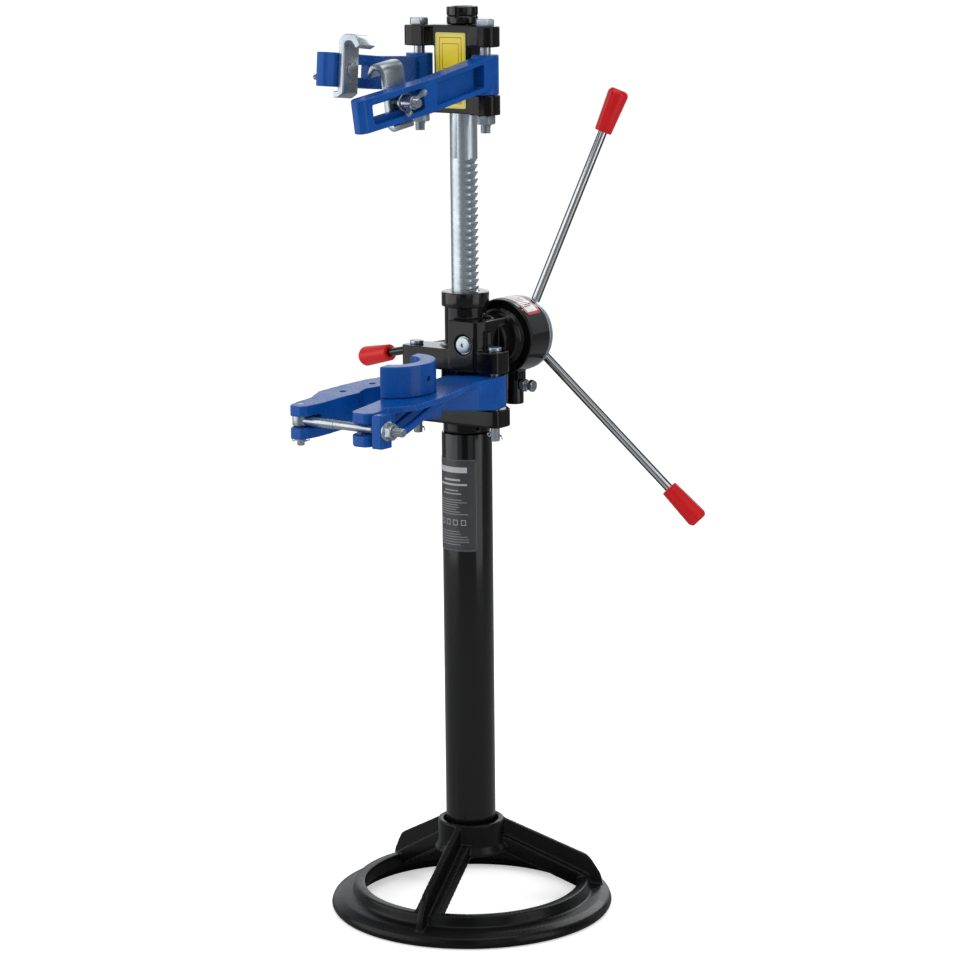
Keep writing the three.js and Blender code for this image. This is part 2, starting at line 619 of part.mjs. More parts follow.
function rackRod() {
  const [bottom, top] = ROD_Z;
  const body = turned([
    [0, bottom], [ROD_R - 1, bottom], [ROD_R, bottom + 1], [ROD_R, 985], [12, 985],
    [12, top - 1], [11, top], [0, top],
  ]);
  return minus(body, rackCutter(), cyl(4.45, bottom - 5, bottom + 18, 0, 0, 8));
}

function rackStopScrew() {
  const [end] = ROD_Z;
  return turned([
    [0, end - 13.6], [6.5, end - 13.6], [6.5, end - 5.6], [3.95, end - 5.6],
    [3.95, end + 16], [0, end + 16],
  ], 12).subtract(hex(6, end - 16, end - 9.5));
}

const rackStopWasher = turned(band(4.4, 22, ROD_Z[0] - 5.3, ROD_Z[0] - 0.3), 16);

addPiece('rack_rod', rackRod(), FINISH.zinc);
addPiece('rack_stop_washer', rackStopWasher, FINISH.dullSteel);
addPiece('rack_stop_screw', rackStopScrew(), FINISH.dullSteel);

// ---------------------------------------------------------------- upper bracket
const BRACKET_BODY = [[-24, -21.5, 3], [24, -21.5, 3], [24, 20, 7], [-24, 20, 7]];
const BRACKET_EAR_HALF = [   // x, y, corner radius
  [25, -21.5, 3], [30, -33, 3], [UPPER_BOLT_X, -34, 8], [58.3, -31, 12], [58.3, -9, 12],
  [42, -5.5, 5], [24, 8, 6],
];
const TOP_BORE_R = 12.3;
const TOP_NUT_PROFILE = [
  [TOP_BORE_R, 994.3], [16, 994.3], [17, 995.6], [17, 1002], [16.1, 1003.2],
  [17, 1004.6], [17, 1013.3], [TOP_BORE_R, 1013.3],
];

function upperBracket() {
  const [lowerEar, upperEar] = UPPER_EARS_Z;
  const ears = UPPER_EARS_Z.map((faces) => prism(symmetric(BRACKET_EAR_HALF), ...faces));
  let body = minus(
    union(prism(BRACKET_BODY, ...BRACKET_Z), ...ears),
    cyl(ROD_R + 0.35, 890, 985.3, 0, 0, 20),
    cyl(TOP_BORE_R, 980, 1000),
  );
  // bolt holes, and room between the ears for the arm hubs
  for (const [, sign] of SIDES) {
    const x = sign * UPPER_BOLT_X;
    body = body.subtract(cyl(UPPER_BOLT_HOLE_R, 890, 1000, x, HINGE_Y, 12));
    body = body.subtract(cyl(UPPER_HUB_R + 1.2, lowerEar[1], upperEar[0], x, HINGE_Y));
  }
  return body;
}

// round nut with four slots in its upper edge
const topNut = minus(turned(TOP_NUT_PROFILE, 20), ...[-75, 15, 105, 195].map((degrees) =>
  place(box(14.6, 20, -2.2, 2.2, 1001, 1020), spinZ(rad(degrees)))));

addPiece('upper_bracket', upperBracket(), FINISH.satinBlack);
addPiece('bracket_label', box(-20.2, 19.2, -22.3, -21.8, 905, 986), FINISH.yellow);
addPiece('top_nut', topNut, FINISH.nutBlack);
for (const [side, sign] of SIDES) {
  const x = sign * UPPER_BOLT_X;
  const bolt = cyl(6, 880, 994.4, x, HINGE_Y, 12)
    .add(hex(18.6, 994.1, 1001.6, x, HINGE_Y, 12));
  const nut = hex(18.6, 889.4, 899.2, x, HINGE_Y, 20)
    .subtract(cyl(6.15, 885, 905, x, HINGE_Y, 12));
  addPiece('arm_bolt_' + side, bolt, FINISH.zinc);
  addPiece('arm_nut_' + side, nut, FINISH.dullZinc);
}

// ---------------------------------------------------------------- upper arms and hooks
// Arm frame: x along the arm from the hinge, y across it (outer side positive), z up.
function armFrame({ sign, yaw }) {
  const [cos, sin] = polar(1, rad(yaw));
  return matrix(
    -sign * sin, sign * cos, 0, sign * UPPER_BOLT_X,
    -cos, -sin, 0, HINGE_Y,
    0, 0, 1, 0,
    0, 0, 0, 1,
  );
}

// Outlines: x, y, corner radius. The hub half overlaps the tip half by 1 mm.
const HUB_HALF = [
  [0, UPPER_HUB_R], [14, 13], [60, 11.4], [UPPER_KINK + 1, 10], [UPPER_KINK + 1, -10],
  [60, -9.2], [16, -9.5], [0, -UPPER_HUB_R],
];
const HUB_RECESS = [
  [15.2, 3.4], [UPPER_KINK - 12, 3.4, 6], [UPPER_KINK - 2, 30], [15.2, 30],
];

// rectangle with equal corner radii, symmetric about the second axis value 0
const slotOutline = (from, to, half, r) =>
  [[from, -half, r], [to, -half, r], [to, half, r], [from, half, r]];

function upperArm({ height, hubSlope }, tipFrame, length) {
  const half = UPPER_ARM_H / 2;
  const shear = matrix(1, 0, 0, 0, 0, 1, 0, 0, hubSlope, 0, 1, height, 0, 0, 0, 1);
  const hubHalf = minus(
    prism(HUB_HALF, -half, half),
    prism(HUB_RECESS, -half + 5.4, half - 5.4),               // recess in the outer side
    box(15.2, 21.4, -30, 30, -half + 5.5, half - 6),          // window by the hub
  );
  const tipOutline = [
    [-3, -10], [length - 9, -10, 6], [length, -4, 5], [length, 6, 5], [length - 7, 10, 5],
    [-3, 10],
  ];
  const tipHalf = minus(
    prism(tipOutline, -half, half),
    prismY(slotOutline(10, length - 17.5, 11.2, 4), -1.6, 30),   // pocket in the outer side
    prismY(slotOutline(12, length - 19, 6.6, 6), -30, 5, 5),     // bolt slot
  );
  const hub = cyl(UPPER_HUB_R, ...UPPER_HUB_Z);
  return union(hub, place(hubHalf, shear), place(tipHalf, tipFrame))
    .subtract(cyl(UPPER_BOLT_HOLE_R, 900, 990, 0, 0, 12));
}

// The hook and its fasteners are drawn about the bolt, whose axis runs along y.
const HOOK_FACE = -10.35;              // hook face against the arm
const HOOK_BACK = HOOK_FACE - 7;       // far face of the strip

function hook(top) {
  const outline = [   // y, z, corner radius
    [HOOK_FACE, -21.8, 0], [-5, -22.2, 2], [-5, -28.6, 2], [-10.5, -29, 7],
    [HOOK_BACK, -24, 3], [HOOK_BACK, top - 7, 7], [HOOK_BACK - 9, top - 7.6, 5],
    [HOOK_BACK - 13.4, top - 15, 1.2], [HOOK_BACK - 19.4, top - 11.6, 1.2],
    [HOOK_BACK - 12.6, top, 9], [HOOK_FACE, top, 13],
  ];
  return prismX(outline, -14.5, 14.5, 5).subtract(rodY(0, -30, 0, 0, 5.35));
}

const hookBolt = union(
  rodY(0, HOOK_BACK + 0.2, 20.5, 0, 5),
  rodY(0, HOOK_BACK - 1.6, HOOK_BACK - 0.3, 0, 7.5),       // head
  rodY(0, HOOK_BACK - 0.5, HOOK_BACK + 0.5, 0, 5),         // joins head and shank
);

const WING_OUTLINE = [   // x, y, corner radius
  [5, 6], [8.2, 6], [10.2, 10.8], [17.5, 12.5], [19, 17.5], [17, 20], [13, 20], [9.5, 15],
  [5, 12],
];
const wingNut = minus(
  union(
    turnedY([[5.2, 1.2], [8.6, 1.2], [7, 14], [5.2, 14]], 16),
    ...[32, 212].map((degrees) => place(prism(WING_OUTLINE, -1.7, 1.7), spinY(rad(degrees)))),
  ),
  rodY(0, -5, 30, 0, 5.2),
);

for (const arm of UPPER_ARMS) {
  const frame = armFrame(arm);
  const tilt = Math.atan(arm.tipSlope);
  const kinkZ = arm.height + arm.hubSlope * UPPER_KINK;
  const tipFrame = product(translate(UPPER_KINK, 0, kinkZ), spinY(-tilt));
  const alongTip = (distance) => (distance - UPPER_KINK) / Math.cos(tilt);
  const boltFrame = product(frame, tipFrame, translate(alongTip(arm.boltAt), 0, 0));
  const addAtBolt = (name, shape, finish) =>
    addPiece(`${name}_${arm.side}`, place(shape, boltFrame), finish);

  const body = upperArm(arm, tipFrame, alongTip(UPPER_LENGTH));
  addPiece('upper_arm_' + arm.side, place(body, frame), FINISH.blue);
  addAtBolt('hook', hook(arm.hookTop), FINISH.zinc);
  addAtBolt('hook_bolt', hookBolt, FINISH.zinc);
  addAtBolt('hook_washer', turnedY(band(5.3, 10.4, -1.3, 0.9), 16), FINISH.dullZinc);
  addAtBolt('wing_nut', wingNut, FINISH.dullZinc);
}

// ---------------------------------------------------------------- lower arms
// Drawn level, then sheared about the hinge line so that they fall towards the front.
const DROOP = matrix(
  1, 0, 0, 0,
  0, 1, 0, 0,
  0, LOWER_DROOP, 1, -LOWER_DROOP * HINGE_Y,
  0, 0, 0, 1,
);
const [ARM_BOTTOM, ARM_TOP] = LOWER_ARM_Z;

// outlines: x, y, corner radius
const RIGHT_OUTLINE = [
  [62.6, -18, 4], [62.4, -33, 4], [54.5, -63.5, 10], [64.8, -110, 12], [68, -146, 14],
  [67, -186, 8], [58.5, -199, 6], [46, -212.5, 8], [51.7, -229, 6], [51.7, -238, 6],
  [45, -247.4, 7], [30, -247.4, 7], [23, -240, 5], [15.2, -177.7, 20], [12, -120, 30],
  [4.5, -64, 12], [3, -44, 8], [22, -36, 8], [41, -10, 8], [52, -6.8, 4], [61, -9, 6],
];
const RIGHT_HOLLOW = [
  [90, -54], [57, -56], [35, -88, 6], [20.6, -110, 8], [23.4, -178, 10], [25.5, -205, 5],
  [90, -205],
];
const LEFT_OUTLINE = [
  [-63, -9, 6], [-52, -6.6, 4], [-40, -10, 8], [-31, -42, 12], [-25, -90, 14],
  [-27.5, -124, 10], [-34, -141, 8], [-31, -152.5, 6], [-26.5, -162, 5], [-29.7, -188, 14],
  [-30.5, -221, 8], [-35, -242, 4], [-39, -247.4, 4], [-53, -247.4, 5], [-57.5, -240, 5],
  [-59.4, -224, 8], [-59.8, -203, 8], [-72, -173, 14], [-70, -136, 20], [-64.5, -97, 12],
  [-56, -78, 12], [-64.6, -33, 6], [-65, -18, 4],
];
const LEFT_HOLLOW = [
  [-48, -60, 4], [-38, -60, 4], [-37, -200, 4], [-52, -200, 4], [-60, -170, 4],
  [-58, -110, 4],
];
// outlines: y, z
const OUTER_RIB = [[-207, 584], [-207, 592], [-138, 613], [-104, 613]];
const INNER_RIB = [[-207, 581], [-190, 581], [-98, 613], [-128, 613], [-207, 590]];
const HUB_THINNING = [[-30, 560], [-92, 560], [-92, 590], [-30, 581.9]];

const forkGap = (x0, x1, y1) =>
  box(x0, x1, -262, y1, LOWER_ARM_MID - FORK_HALF_GAP, LOWER_ARM_MID + FORK_HALF_GAP);
const lowerPinHole = (sign) =>
  cyl(LOWER_PIN_HOLE_R, 570, 630, sign * LOWER_PIN_X, HINGE_Y, 12);

// top plate with a deep web along the inner edge and two slanting ribs underneath
function rightLowerArm() {
  const hollow = minus(
    prism(RIGHT_HOLLOW, ARM_BOTTOM - 5, ARM_TOP - 6.5),
    prismX(OUTER_RIB, 55.5, 61),
    prismX(INNER_RIB, 37, 42),
  );
  return minus(
    prism(RIGHT_OUTLINE, ...LOWER_ARM_Z),
    hollow,
    prismX(HUB_THINNING, -20, 95),
    forkGap(0, 90, -223),
    lowerPinHole(1),
  );
}

// solid outline with a pocket from below and two through holes
function leftLowerArm() {
  return minus(
    prism(LEFT_OUTLINE, ...LOWER_ARM_Z),
    prism(LEFT_HOLLOW, ARM_BOTTOM - 5, ARM_BOTTOM + 21),
    forkGap(-90, 0, -221.5),
    cyl(3.4, 560, 640, -47.3, -163, 8),
    cyl(3.4, 560, 640, -43.3, -115.4, 8),
    lowerPinHole(-1),
    cyl(TIE_HOLE_R, 560, 640, ...TIE_EYE, 12),
  );
}

// part ring standing on the right arm, its -X side cut away
function springCup() {
  const [x, y] = [7, -137];
  const [inner, outer] = [23.6, 41];
  const [bottom, top] = [ARM_TOP + 0.3, ARM_TOP + 33.8];
  const ring = turned([
    [inner, bottom], [outer, bottom], [outer, top - 1], [outer - 1, top], [inner + 1, top],
    [inner, top - 1],
  ], 28);
  return minus(
    move(ring, x, y, 0),
    prism([[4, -60], [4, -96], [13, -178], [14, -200], [-80, -200], [-80, -60]], 600, 680),
    rodX(x + 15, x + 50, y, ARM_TOP + 17, 2.8, 8),
  );
}

addPiece('lower_arm_right', place(rightLowerArm(), DROOP), FINISH.blue);
addPiece('lower_arm_left', place(leftLowerArm(), DROOP), FINISH.blue);
addPiece('spring_cup', place(springCup(), DROOP), FINISH.blue);

// ---------------------------------------------------------------- fork pin and tie rod
const [FORK_X, FORK_Y] = TIE_EYE;
const FORK_COTTER_Z = 569.4;

function forkPin() {
  const top = ARM_TOP + LOWER_DROOP * (FORK_Y - HINGE_Y);
  const pin = turned([
    [0, 564], [3.4, 564], [4, 564.8], [4, top - 0.6], [3.4, top], [0, top],
  ], 12);
  return move(pin, FORK_X, FORK_Y, 0)
    .subtract(rodX(FORK_X - 8, FORK_X + 8, FORK_Y, FORK_COTTER_Z, 1.25, 8));
}

// split pin: legs, cross head at -X, one end bent up at +X
const forkCotter = union(
  rodX(FORK_X - 12.5, FORK_X + 8.5, FORK_Y, FORK_COTTER_Z, 1.05, 8),
  rodY(FORK_X - 10.4, FORK_Y - 1.3, FORK_Y + 1.3, FORK_COTTER_Z, 2.2, 8),
  rod([FORK_X + 8, FORK_Y, 569.2], [FORK_X + 12.6, FORK_Y, 571.2], 0.9, 8),
);

// Tie frame: origin at the eye, x along the rod towards the right arm.
const TIE_FRAME = product(translate(...TIE_EYE, TIE_Z), spinZ(Math.atan(TIE_SLOPE)));
const SADDLE_X = [103.4, 103.4 + 13.2];
const NUT_X = SADDLE_X[0] + 13.5;

const tieRod = minus(
  union(cyl(8.6, -5.6, 5.6), rodX(5, 47, 0, 0, 5), rodX(46, 139, 0, 0, 4.6)),
  cyl(TIE_HOLE_R, -10, 10, 0, 0, 12),
);

function tieSaddle() {
  const [seat, far] = SADDLE_X;
  return minus(
    prism([[seat, -10, 2], [far, -8.5, 3], [far, 9, 3], [seat, 12, 2]], -18.5, 17),
    prismY([[seat - 5, 17.2], [seat + 3, 17.2], [seat - 5, 12]], -30, 30),
    rodX(seat - 4, seat + 30, 0, 0, 5.2),
  );
}

// flanged nut
const tieNut = minus(
  union(
    alongX(turned([[5, 0], [10.2, 0], [10.2, 1.6], [8.6, 3], [5, 3]], 16)),
    alongX(hex(15.6, 1.5, 9.6)),
  ),
  rodX(-2, 14, 0, 0, 4.85),
);

addPiece('fork_pin', forkPin(), FINISH.zinc);
addPiece('fork_cotter', forkCotter, FINISH.dullZinc);
addPiece('tie_rod', place(tieRod, TIE_FRAME), FINISH.zinc);
addPiece('tie_saddle', place(tieSaddle(), TIE_FRAME), FINISH.blue);
addPiece('tie_nut', place(tieNut, product(TIE_FRAME, translate(NUT_X, 0, 0))), FINISH.dullZinc);

compressor.position.set(-BOX_CENTRE[0], -BOX_CENTRE[1], 0);

export default compressor;
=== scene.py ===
"""Coil spring compressor standing on the floor: a three-legged base and column along Z, a geared
head with brake drum and three-armed handle turning about Y, a rack rod, and two pairs of arms
that reach towards -Y. Shapes are worked out in mm about the column axis, then moved into the frame.
"""
import json
from math import acos, atan, atan2, cos, dist, pi, radians, sin, sqrt, tan

import bmesh
import bpy
from mathutils import Matrix, Vector


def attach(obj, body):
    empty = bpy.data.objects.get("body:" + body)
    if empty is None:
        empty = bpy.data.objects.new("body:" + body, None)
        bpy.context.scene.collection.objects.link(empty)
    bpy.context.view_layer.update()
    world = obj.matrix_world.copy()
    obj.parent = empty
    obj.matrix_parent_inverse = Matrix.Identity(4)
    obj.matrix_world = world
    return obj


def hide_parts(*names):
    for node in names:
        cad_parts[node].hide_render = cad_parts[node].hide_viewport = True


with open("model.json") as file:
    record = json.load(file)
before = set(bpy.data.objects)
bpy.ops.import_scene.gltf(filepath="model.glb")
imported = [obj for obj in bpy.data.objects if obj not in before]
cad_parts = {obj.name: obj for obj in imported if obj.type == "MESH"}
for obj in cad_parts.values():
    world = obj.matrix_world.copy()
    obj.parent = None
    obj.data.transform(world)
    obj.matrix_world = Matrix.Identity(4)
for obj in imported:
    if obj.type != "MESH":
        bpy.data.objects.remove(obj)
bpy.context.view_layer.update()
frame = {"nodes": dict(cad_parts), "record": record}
SCENE = bpy.context.scene
BODY_OF = {node: body for body, nodes in frame["record"]["behaviour"]["bodies"].items()
           for node in nodes}

# ------------------------------------------------------------------ shared dimensions, mm
ORIGIN = (18.1, 43.7)              # column axis in the frame
SIDES = (("left", -1), ("right", 1))   # name and sign of x
TUBE_R, TUBE_WALL, TUBE_Z0, TUBE_Z1 = 28, 3, 70.3, 548
ROD_R, ROD_Z0, ROD_Z1 = 15, 430, 1011
PINION_X, PINION_Z = 22.0, 650     # pinion axis, along Y
LOWER_PIN_X, PIN_Y, UPPER_BOLT_X = 52, -20, 43.3
DRUM_R, DRUM_Y = 42, (34.2, 72)
BOSS = (25, 58.2)                  # x, y of the adjuster boss under the drum
BOLT_Z = 594                       # adjuster bolt height
LOWER_ARM_Z = (582, 617.5)
DROOP = 0.04                       # slope of the lower arms along y
TIE_EYE = (-50.9, -232.5)          # x, y of the tie rod's eye


# ------------------------------------------------------------------ mesh helpers
# Outline points are (x, y) or (x, y, corner radius); profile points (radius, z[, corner radius]).
def add_object(name, data):
    obj = bpy.data.objects.new(name, data)
    SCENE.collection.objects.link(obj)
    return obj


def mesh(verts, faces):
    me = bpy.data.meshes.new("m")
    me.from_pydata(verts, [], faces)
    me.update()
    return me


def outward(me):
    """Turns the faces outward, judged by the sign of the volume."""
    me.calc_loop_triangles()
    corners = [[me.vertices[i].co for i in tri.vertices] for tri in me.loop_triangles]
    if sum(first.dot(second.cross(third)) for first, second, third in corners) < 0:
        me.flip_normals()
    return me


def modified(me, steps, tools=()):
    """The mesh after (modifier type, settings) steps; removes the tool objects they used."""
    body = add_object("tmp", me)
    for kind, settings in steps:
        modifier = body.modifiers.new(kind, kind)
        for name, value in settings.items():
            setattr(modifier, name, value)
    graph = bpy.context.evaluated_depsgraph_get()
    graph.update()
    result = bpy.data.meshes.new_from_object(body.evaluated_get(graph))
    for obj in (body, *tools):
        bpy.data.objects.remove(obj)
    return result


def boolean(me, operation, others):
    tools = [add_object("tool", other) for other in others]
    return modified(me, [("BOOLEAN", dict(solver="MANIFOLD", operation=operation, object=tool))
                         for tool in tools], tools)


def union(me, *others):
    return boolean(me, "UNION", others)


def minus(me, *others):
    return boolean(me, "DIFFERENCE", others)


def place(me, matrix):
    me = me.copy()
    me.transform(matrix)
    if matrix.determinant() < 0:
        me.flip_normals()
    return me


def bevel(me, width, segments, angle):
    return modified(me, [
        ("WELD", dict(merge_threshold=0.002)),
        ("BEVEL", dict(width=width, segments=segments, limit_method="ANGLE",
                       angle_limit=radians(angle), use_clamp_overlap=True))])


def rounded(points, segments=5):
    """The outline with its corner radii drawn as arcs."""
    out = []
    for i, (x, y, *radius) in enumerate(points):
        if not radius:
            out.append((x, y))
            continue
        corner = Vector((x, y))
        back = Vector(points[i - 1][:2]) - corner
        ahead = Vector(points[(i + 1) % len(points)][:2]) - corner
        back_length, ahead_length = back.length, ahead.length
        back.normalize()
        ahead.normalize()
        half = acos(max(-1, min(1, back.dot(ahead)))) / 2
        if half > pi / 2 - 0.01:   # nearly straight
            out.append((x, y))
            continue
        cut = min(radius[0] / tan(half), back_length * 0.49, ahead_length * 0.49)
        fitted = cut * tan(half)
        centre = (back + ahead).normalized() * (fitted / sin(half)) + corner
        start, end = back * cut + corner - centre, ahead * cut + corner - centre
        first = atan2(start.y, start.x)
        sweep = atan2(end.y, end.x) - first
        while sweep > pi:
            sweep -= 2 * pi
        while sweep < -pi:
            sweep += 2 * pi
        for k in range(segments + 1):
            angle = first + sweep * k / segments
            out.append((centre.x + fitted * cos(angle), centre.y + fitted * sin(angle)))
    return out


def turned(profile, sides=96):
    """Sharp profile turned about Z; closed on itself unless both ends are on the axis."""
    verts, rings = [], []
    for radius, z in profile:
        count = sides if radius else 1
        rings.append(range(len(verts), len(verts) + count))
        verts += [(radius * cos(2 * pi * k / sides), radius * sin(2 * pi * k / sides), z)
                  for k in range(count)]
    pairs = list(zip(rings, rings[1:]))
    if profile[0][0] or profile[-1][0]:
        pairs.append((rings[-1], rings[0]))
    faces = []
    for one, two in pairs:
        for k in range(sides):
            j = (k + 1) % sides
            if len(one) == 1:
                faces.append((one[0], two[k], two[j]))
            elif len(two) == 1:
                faces.append((one[k], two[0], one[j]))
            else:
                faces.append((one[k], two[k], two[j], one[j]))
    return outward(mesh(verts, faces))


def lathe(points, sides=96, segments=3):
    """Turned solid with rounded profile corners."""
    if points[0][0] or points[-1][0]:
        return turned(rounded(points, segments), sides)
    # ends move past the axis while rounding, so the corners beside them come out right
    first, last = points[0][1], points[-1][1]
    body = rounded([(-1, first), *points[1:-1], (-1, last)], segments)
    return turned([(0, first), *body[1:-1], (0, last)], sides)


Z_TO_X = Matrix.Rotation(pi / 2, 4, "Y")
Z_TO_Y = Matrix.Rotation(-pi / 2, 4, "X")
PINION_AXIS = Matrix.Translation((PINION_X, 0, PINION_Z)) @ Z_TO_Y
SWAP_YZ = Matrix(((1, 0, 0, 0), (0, 0, 1, 0), (0, 1, 0, 0), (0, 0, 0, 1)))
SWAP_XY = Matrix(((0, 1, 0, 0), (1, 0, 0, 0), (0, 0, 1, 0), (0, 0, 0, 1)))
XYZ_TO_YZX = Matrix(((0, 0, 1, 0), (1, 0, 0, 0), (0, 1, 0, 0), (0, 0, 0, 1)))


def pinion_turned(profile, sides=96):
    """Turned about the pinion axis; profile points are (radius, y)."""
    return place(turned(profile, sides), PINION_AXIS)


def pinion_lathe(points, sides=96):
    return place(lathe(points, sides), PINION_AXIS)


def prism(outline, low, high, segments=5):
    """Rounded (x, y) outline raised from z = low to high."""
    ring = []
    for point in rounded(outline, segments):
        if not ring or dist(point, ring[-1]) > 1e-4:
            ring.append(point)
    if dist(ring[0], ring[-1]) < 1e-4:
        ring.pop()
    n = len(ring)
    if sum(ring[i][0] * ring[(i + 1) % n][1] - ring[(i + 1) % n][0] * ring[i][1]
           for i in range(n)) < 0:
        ring.reverse()
    verts = [(x, y, z) for z in (low, high) for x, y in ring]
    faces = [tuple(range(n - 1, -1, -1)), tuple(range(n, 2 * n))]
    faces += [(i, (i + 1) % n, n + (i + 1) % n, n + i) for i in range(n)]
    return mesh(verts, faces)


def prism_y(outline, low, high):
    """(x, z) outline from y = low to high."""
    return place(prism(outline, low, high), SWAP_YZ)


def prism_x(outline, low, high):
    """(y, z) outline from x = low to high."""
    return place(prism_y(outline, low, high), SWAP_XY)


def box(x0, x1, y0, y1, z0, z1):
    return prism([(x0, y0), (x1, y0), (x1, y1), (x0, y1)], z0, z1)


def cylinder(radius, low, high, x=0, y=0, sides=64):
    profile = [(0, low), (radius, low), (radius, high), (0, high)]
    return place(turned(profile, sides), Matrix.Translation((x, y, 0)))


def along(start, end):
    """Frame with its origin at start and Z towards end, and the distance."""
    start = Vector(start)
    path = Vector(end) - start
    rotation = Vector((0, 0, 1)).rotation_difference(path.normalized())
    return Matrix.Translation(start) @ rotation.to_matrix().to_4x4(), path.length


def bar(start, end, radius, sides=48, chamfer=0):
    """Round bar between two points."""
    matrix, length = along(start, end)
    if chamfer:
        profile = [(0, 0), (radius - chamfer, 0), (radius, chamfer), (radius, length - chamfer),
                   (radius - chamfer, length), (0, length)]
    else:
        profile = [(0, 0), (radius, 0), (radius, length), (0, length)]
    return place(turned(profile, sides), matrix)


def hexagon(flats, turn_deg=0):
    radius = flats / sqrt(3)
    return [(radius * cos(radians(60 * i + turn_deg)), radius * sin(radians(60 * i + turn_deg)))
            for i in range(6)]


def hex_nut(flats, low, high, bore=0.0, turn_deg=0, chamfer_low=True):
    """Hexagon with 30 degree corner chamfers, and a bore with a lead-in."""
    corner, flat = flats / sqrt(3), flats / 2 * 0.96
    drop = (corner - flat) * tan(radians(30))
    profile = [(0, low), (flat if chamfer_low else corner + 1, low)]
    if chamfer_low:
        profile.append((corner + 0.05, low + drop))
    profile += [(corner + 0.05, high - drop), (flat, high), (0, high)]
    nut = boolean(prism(hexagon(flats, turn_deg), low - 1, high + 1), "INTERSECT",
                  [turned(profile, 72)])
    if bore:
        nut = minus(nut, turned([(0, low - 1), (bore + 1.6, low - 1), (bore, low + 0.7),
                                 (bore, high - 0.7), (bore + 1.6, high + 1), (0, high + 1)], 48))
    return bevel(nut, width=0.14, segments=2, angle=25)


def threaded(radius, low, high, pitch, depth=None, start=0.0, end=0.9):
    """Bar with a helical thread that tapers out over the start and end lengths."""
    depth = depth or pitch * 0.54
    sides, rows_per_turn = 48, 6
    crest, flank = 0.12, 0.76      # shares of half a pitch
    count = max(8, int((high - low) / pitch * rows_per_turn))
    verts, faces = [], []
    for i in range(count + 1):
        z = low + (high - low) * i / count
        taper = 0.0
        if end and z > high - end:
            taper = max(taper, (z - (high - end)) / end * depth)
        if start and z < low + start:
            taper = max(taper, (low + start - z) / start * depth)
        for k in range(sides):
            wave = abs((z / pitch - k / sides) % 1.0 * 2 - 1)
            reach = radius - depth * min(1, max(0, (wave - crest) / flank))
            reach = min(reach, radius - taper)
            verts.append((reach * cos(2 * pi * k / sides), reach * sin(2 * pi * k / sides), z))
    for i in range(count):
        one, two = i * sides, (i + 1) * sides
        for k in range(sides):
            j = (k + 1) % sides
            faces.append((one + k, one + j, two + j, two + k))
    low_centre, high_centre, last = len(verts), len(verts) + 1, count * sides
    verts += [(0, 0, low), (0, 0, high)]
    for k in range(sides):
        j = (k + 1) % sides
        faces.append((low_centre, j, k))
        faces.append((high_centre, last + k, last + j))
    return outward(mesh(verts, faces))


# ------------------------------------------------------------------ finished pieces
def finish_shading(me, angle):
    """Smooth shading, with edges sharper than the angle left sharp."""
    bm = bmesh.new()
    bm.from_mesh(me)
    bmesh.ops.remove_doubles(bm, verts=bm.verts, dist=1e-7)
    for edge in bm.edges:
        edge.smooth = len(edge.link_faces) == 2 and edge.calc_face_angle(0) < radians(angle)
    for face in bm.faces:
        face.smooth = True
    bm.to_mesh(me)
    bm.free()


def piece(node, me, finish, angle=32):
    """Puts a piece in the frame in place of its CAD node, riding on that node's body."""
    me = me.copy()
    to_metres = Matrix.Diagonal((0.001, 0.001, 0.001, 1))
    me.transform(to_metres @ Matrix.Translation((ORIGIN[0], ORIGIN[1], 0)))
    finish_shading(me, angle)
    me.materials.clear()
    me.materials.append(finish.material)
    me.name = node + "_look"
    obj = add_object(node + "_look", me)
    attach(obj, BODY_OF[node])
    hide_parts(node)


def cast_piece(node, solid, finish, voxel, smooth=6, keep=0.4):
    """Cast look: rebuilt on an even grid, edges relaxed into small fillets, spare faces dropped."""
    soft = modified(solid, [("REMESH", dict(mode="VOXEL", voxel_size=voxel, adaptivity=0)),
                            ("SMOOTH", dict(factor=0.5, iterations=smooth)),
                            ("DECIMATE", dict(ratio=keep))])
    piece(node, soft, finish, 60)


# ------------------------------------------------------------------ shader graphs
class Graph:
    """A node tree; every value passed in may be a constant or a socket."""

    def __init__(self, owner, output, coordinates):
        owner.use_nodes = True
        self.tree = owner.node_tree
        self.tree.nodes.clear()
        self.out = self.node(output)
        self.co = self.node("TexCoord").outputs[coordinates]

    def put(self, socket, value):
        if isinstance(value, bpy.types.NodeSocket):
            self.tree.links.new(value, socket)
        else:
            socket.default_value = value

    def node(self, kind, inputs=None, **settings):
        node = self.tree.nodes.new("ShaderNode" + kind)
        for name, value in settings.items():
            setattr(node, name, value)
        for key, value in (inputs or {}).items():
            self.put(node.inputs[key], value)
        return node

    def math(self, operation, one, two=0.0):
        return self.node("Math", {0: one, 1: two}, operation=operation).outputs[0]

    def times(self, one, two):
        return self.math("MULTIPLY", one, two)

    def ramp(self, value, start, end, low=0.0, high=1.0, kind="LINEAR"):
        """Maps start..end to low..high, clamped."""
        return self.node("MapRange", {0: value, 1: start, 2: end, 3: low, 4: high},
                         interpolation_type=kind).outputs[0]


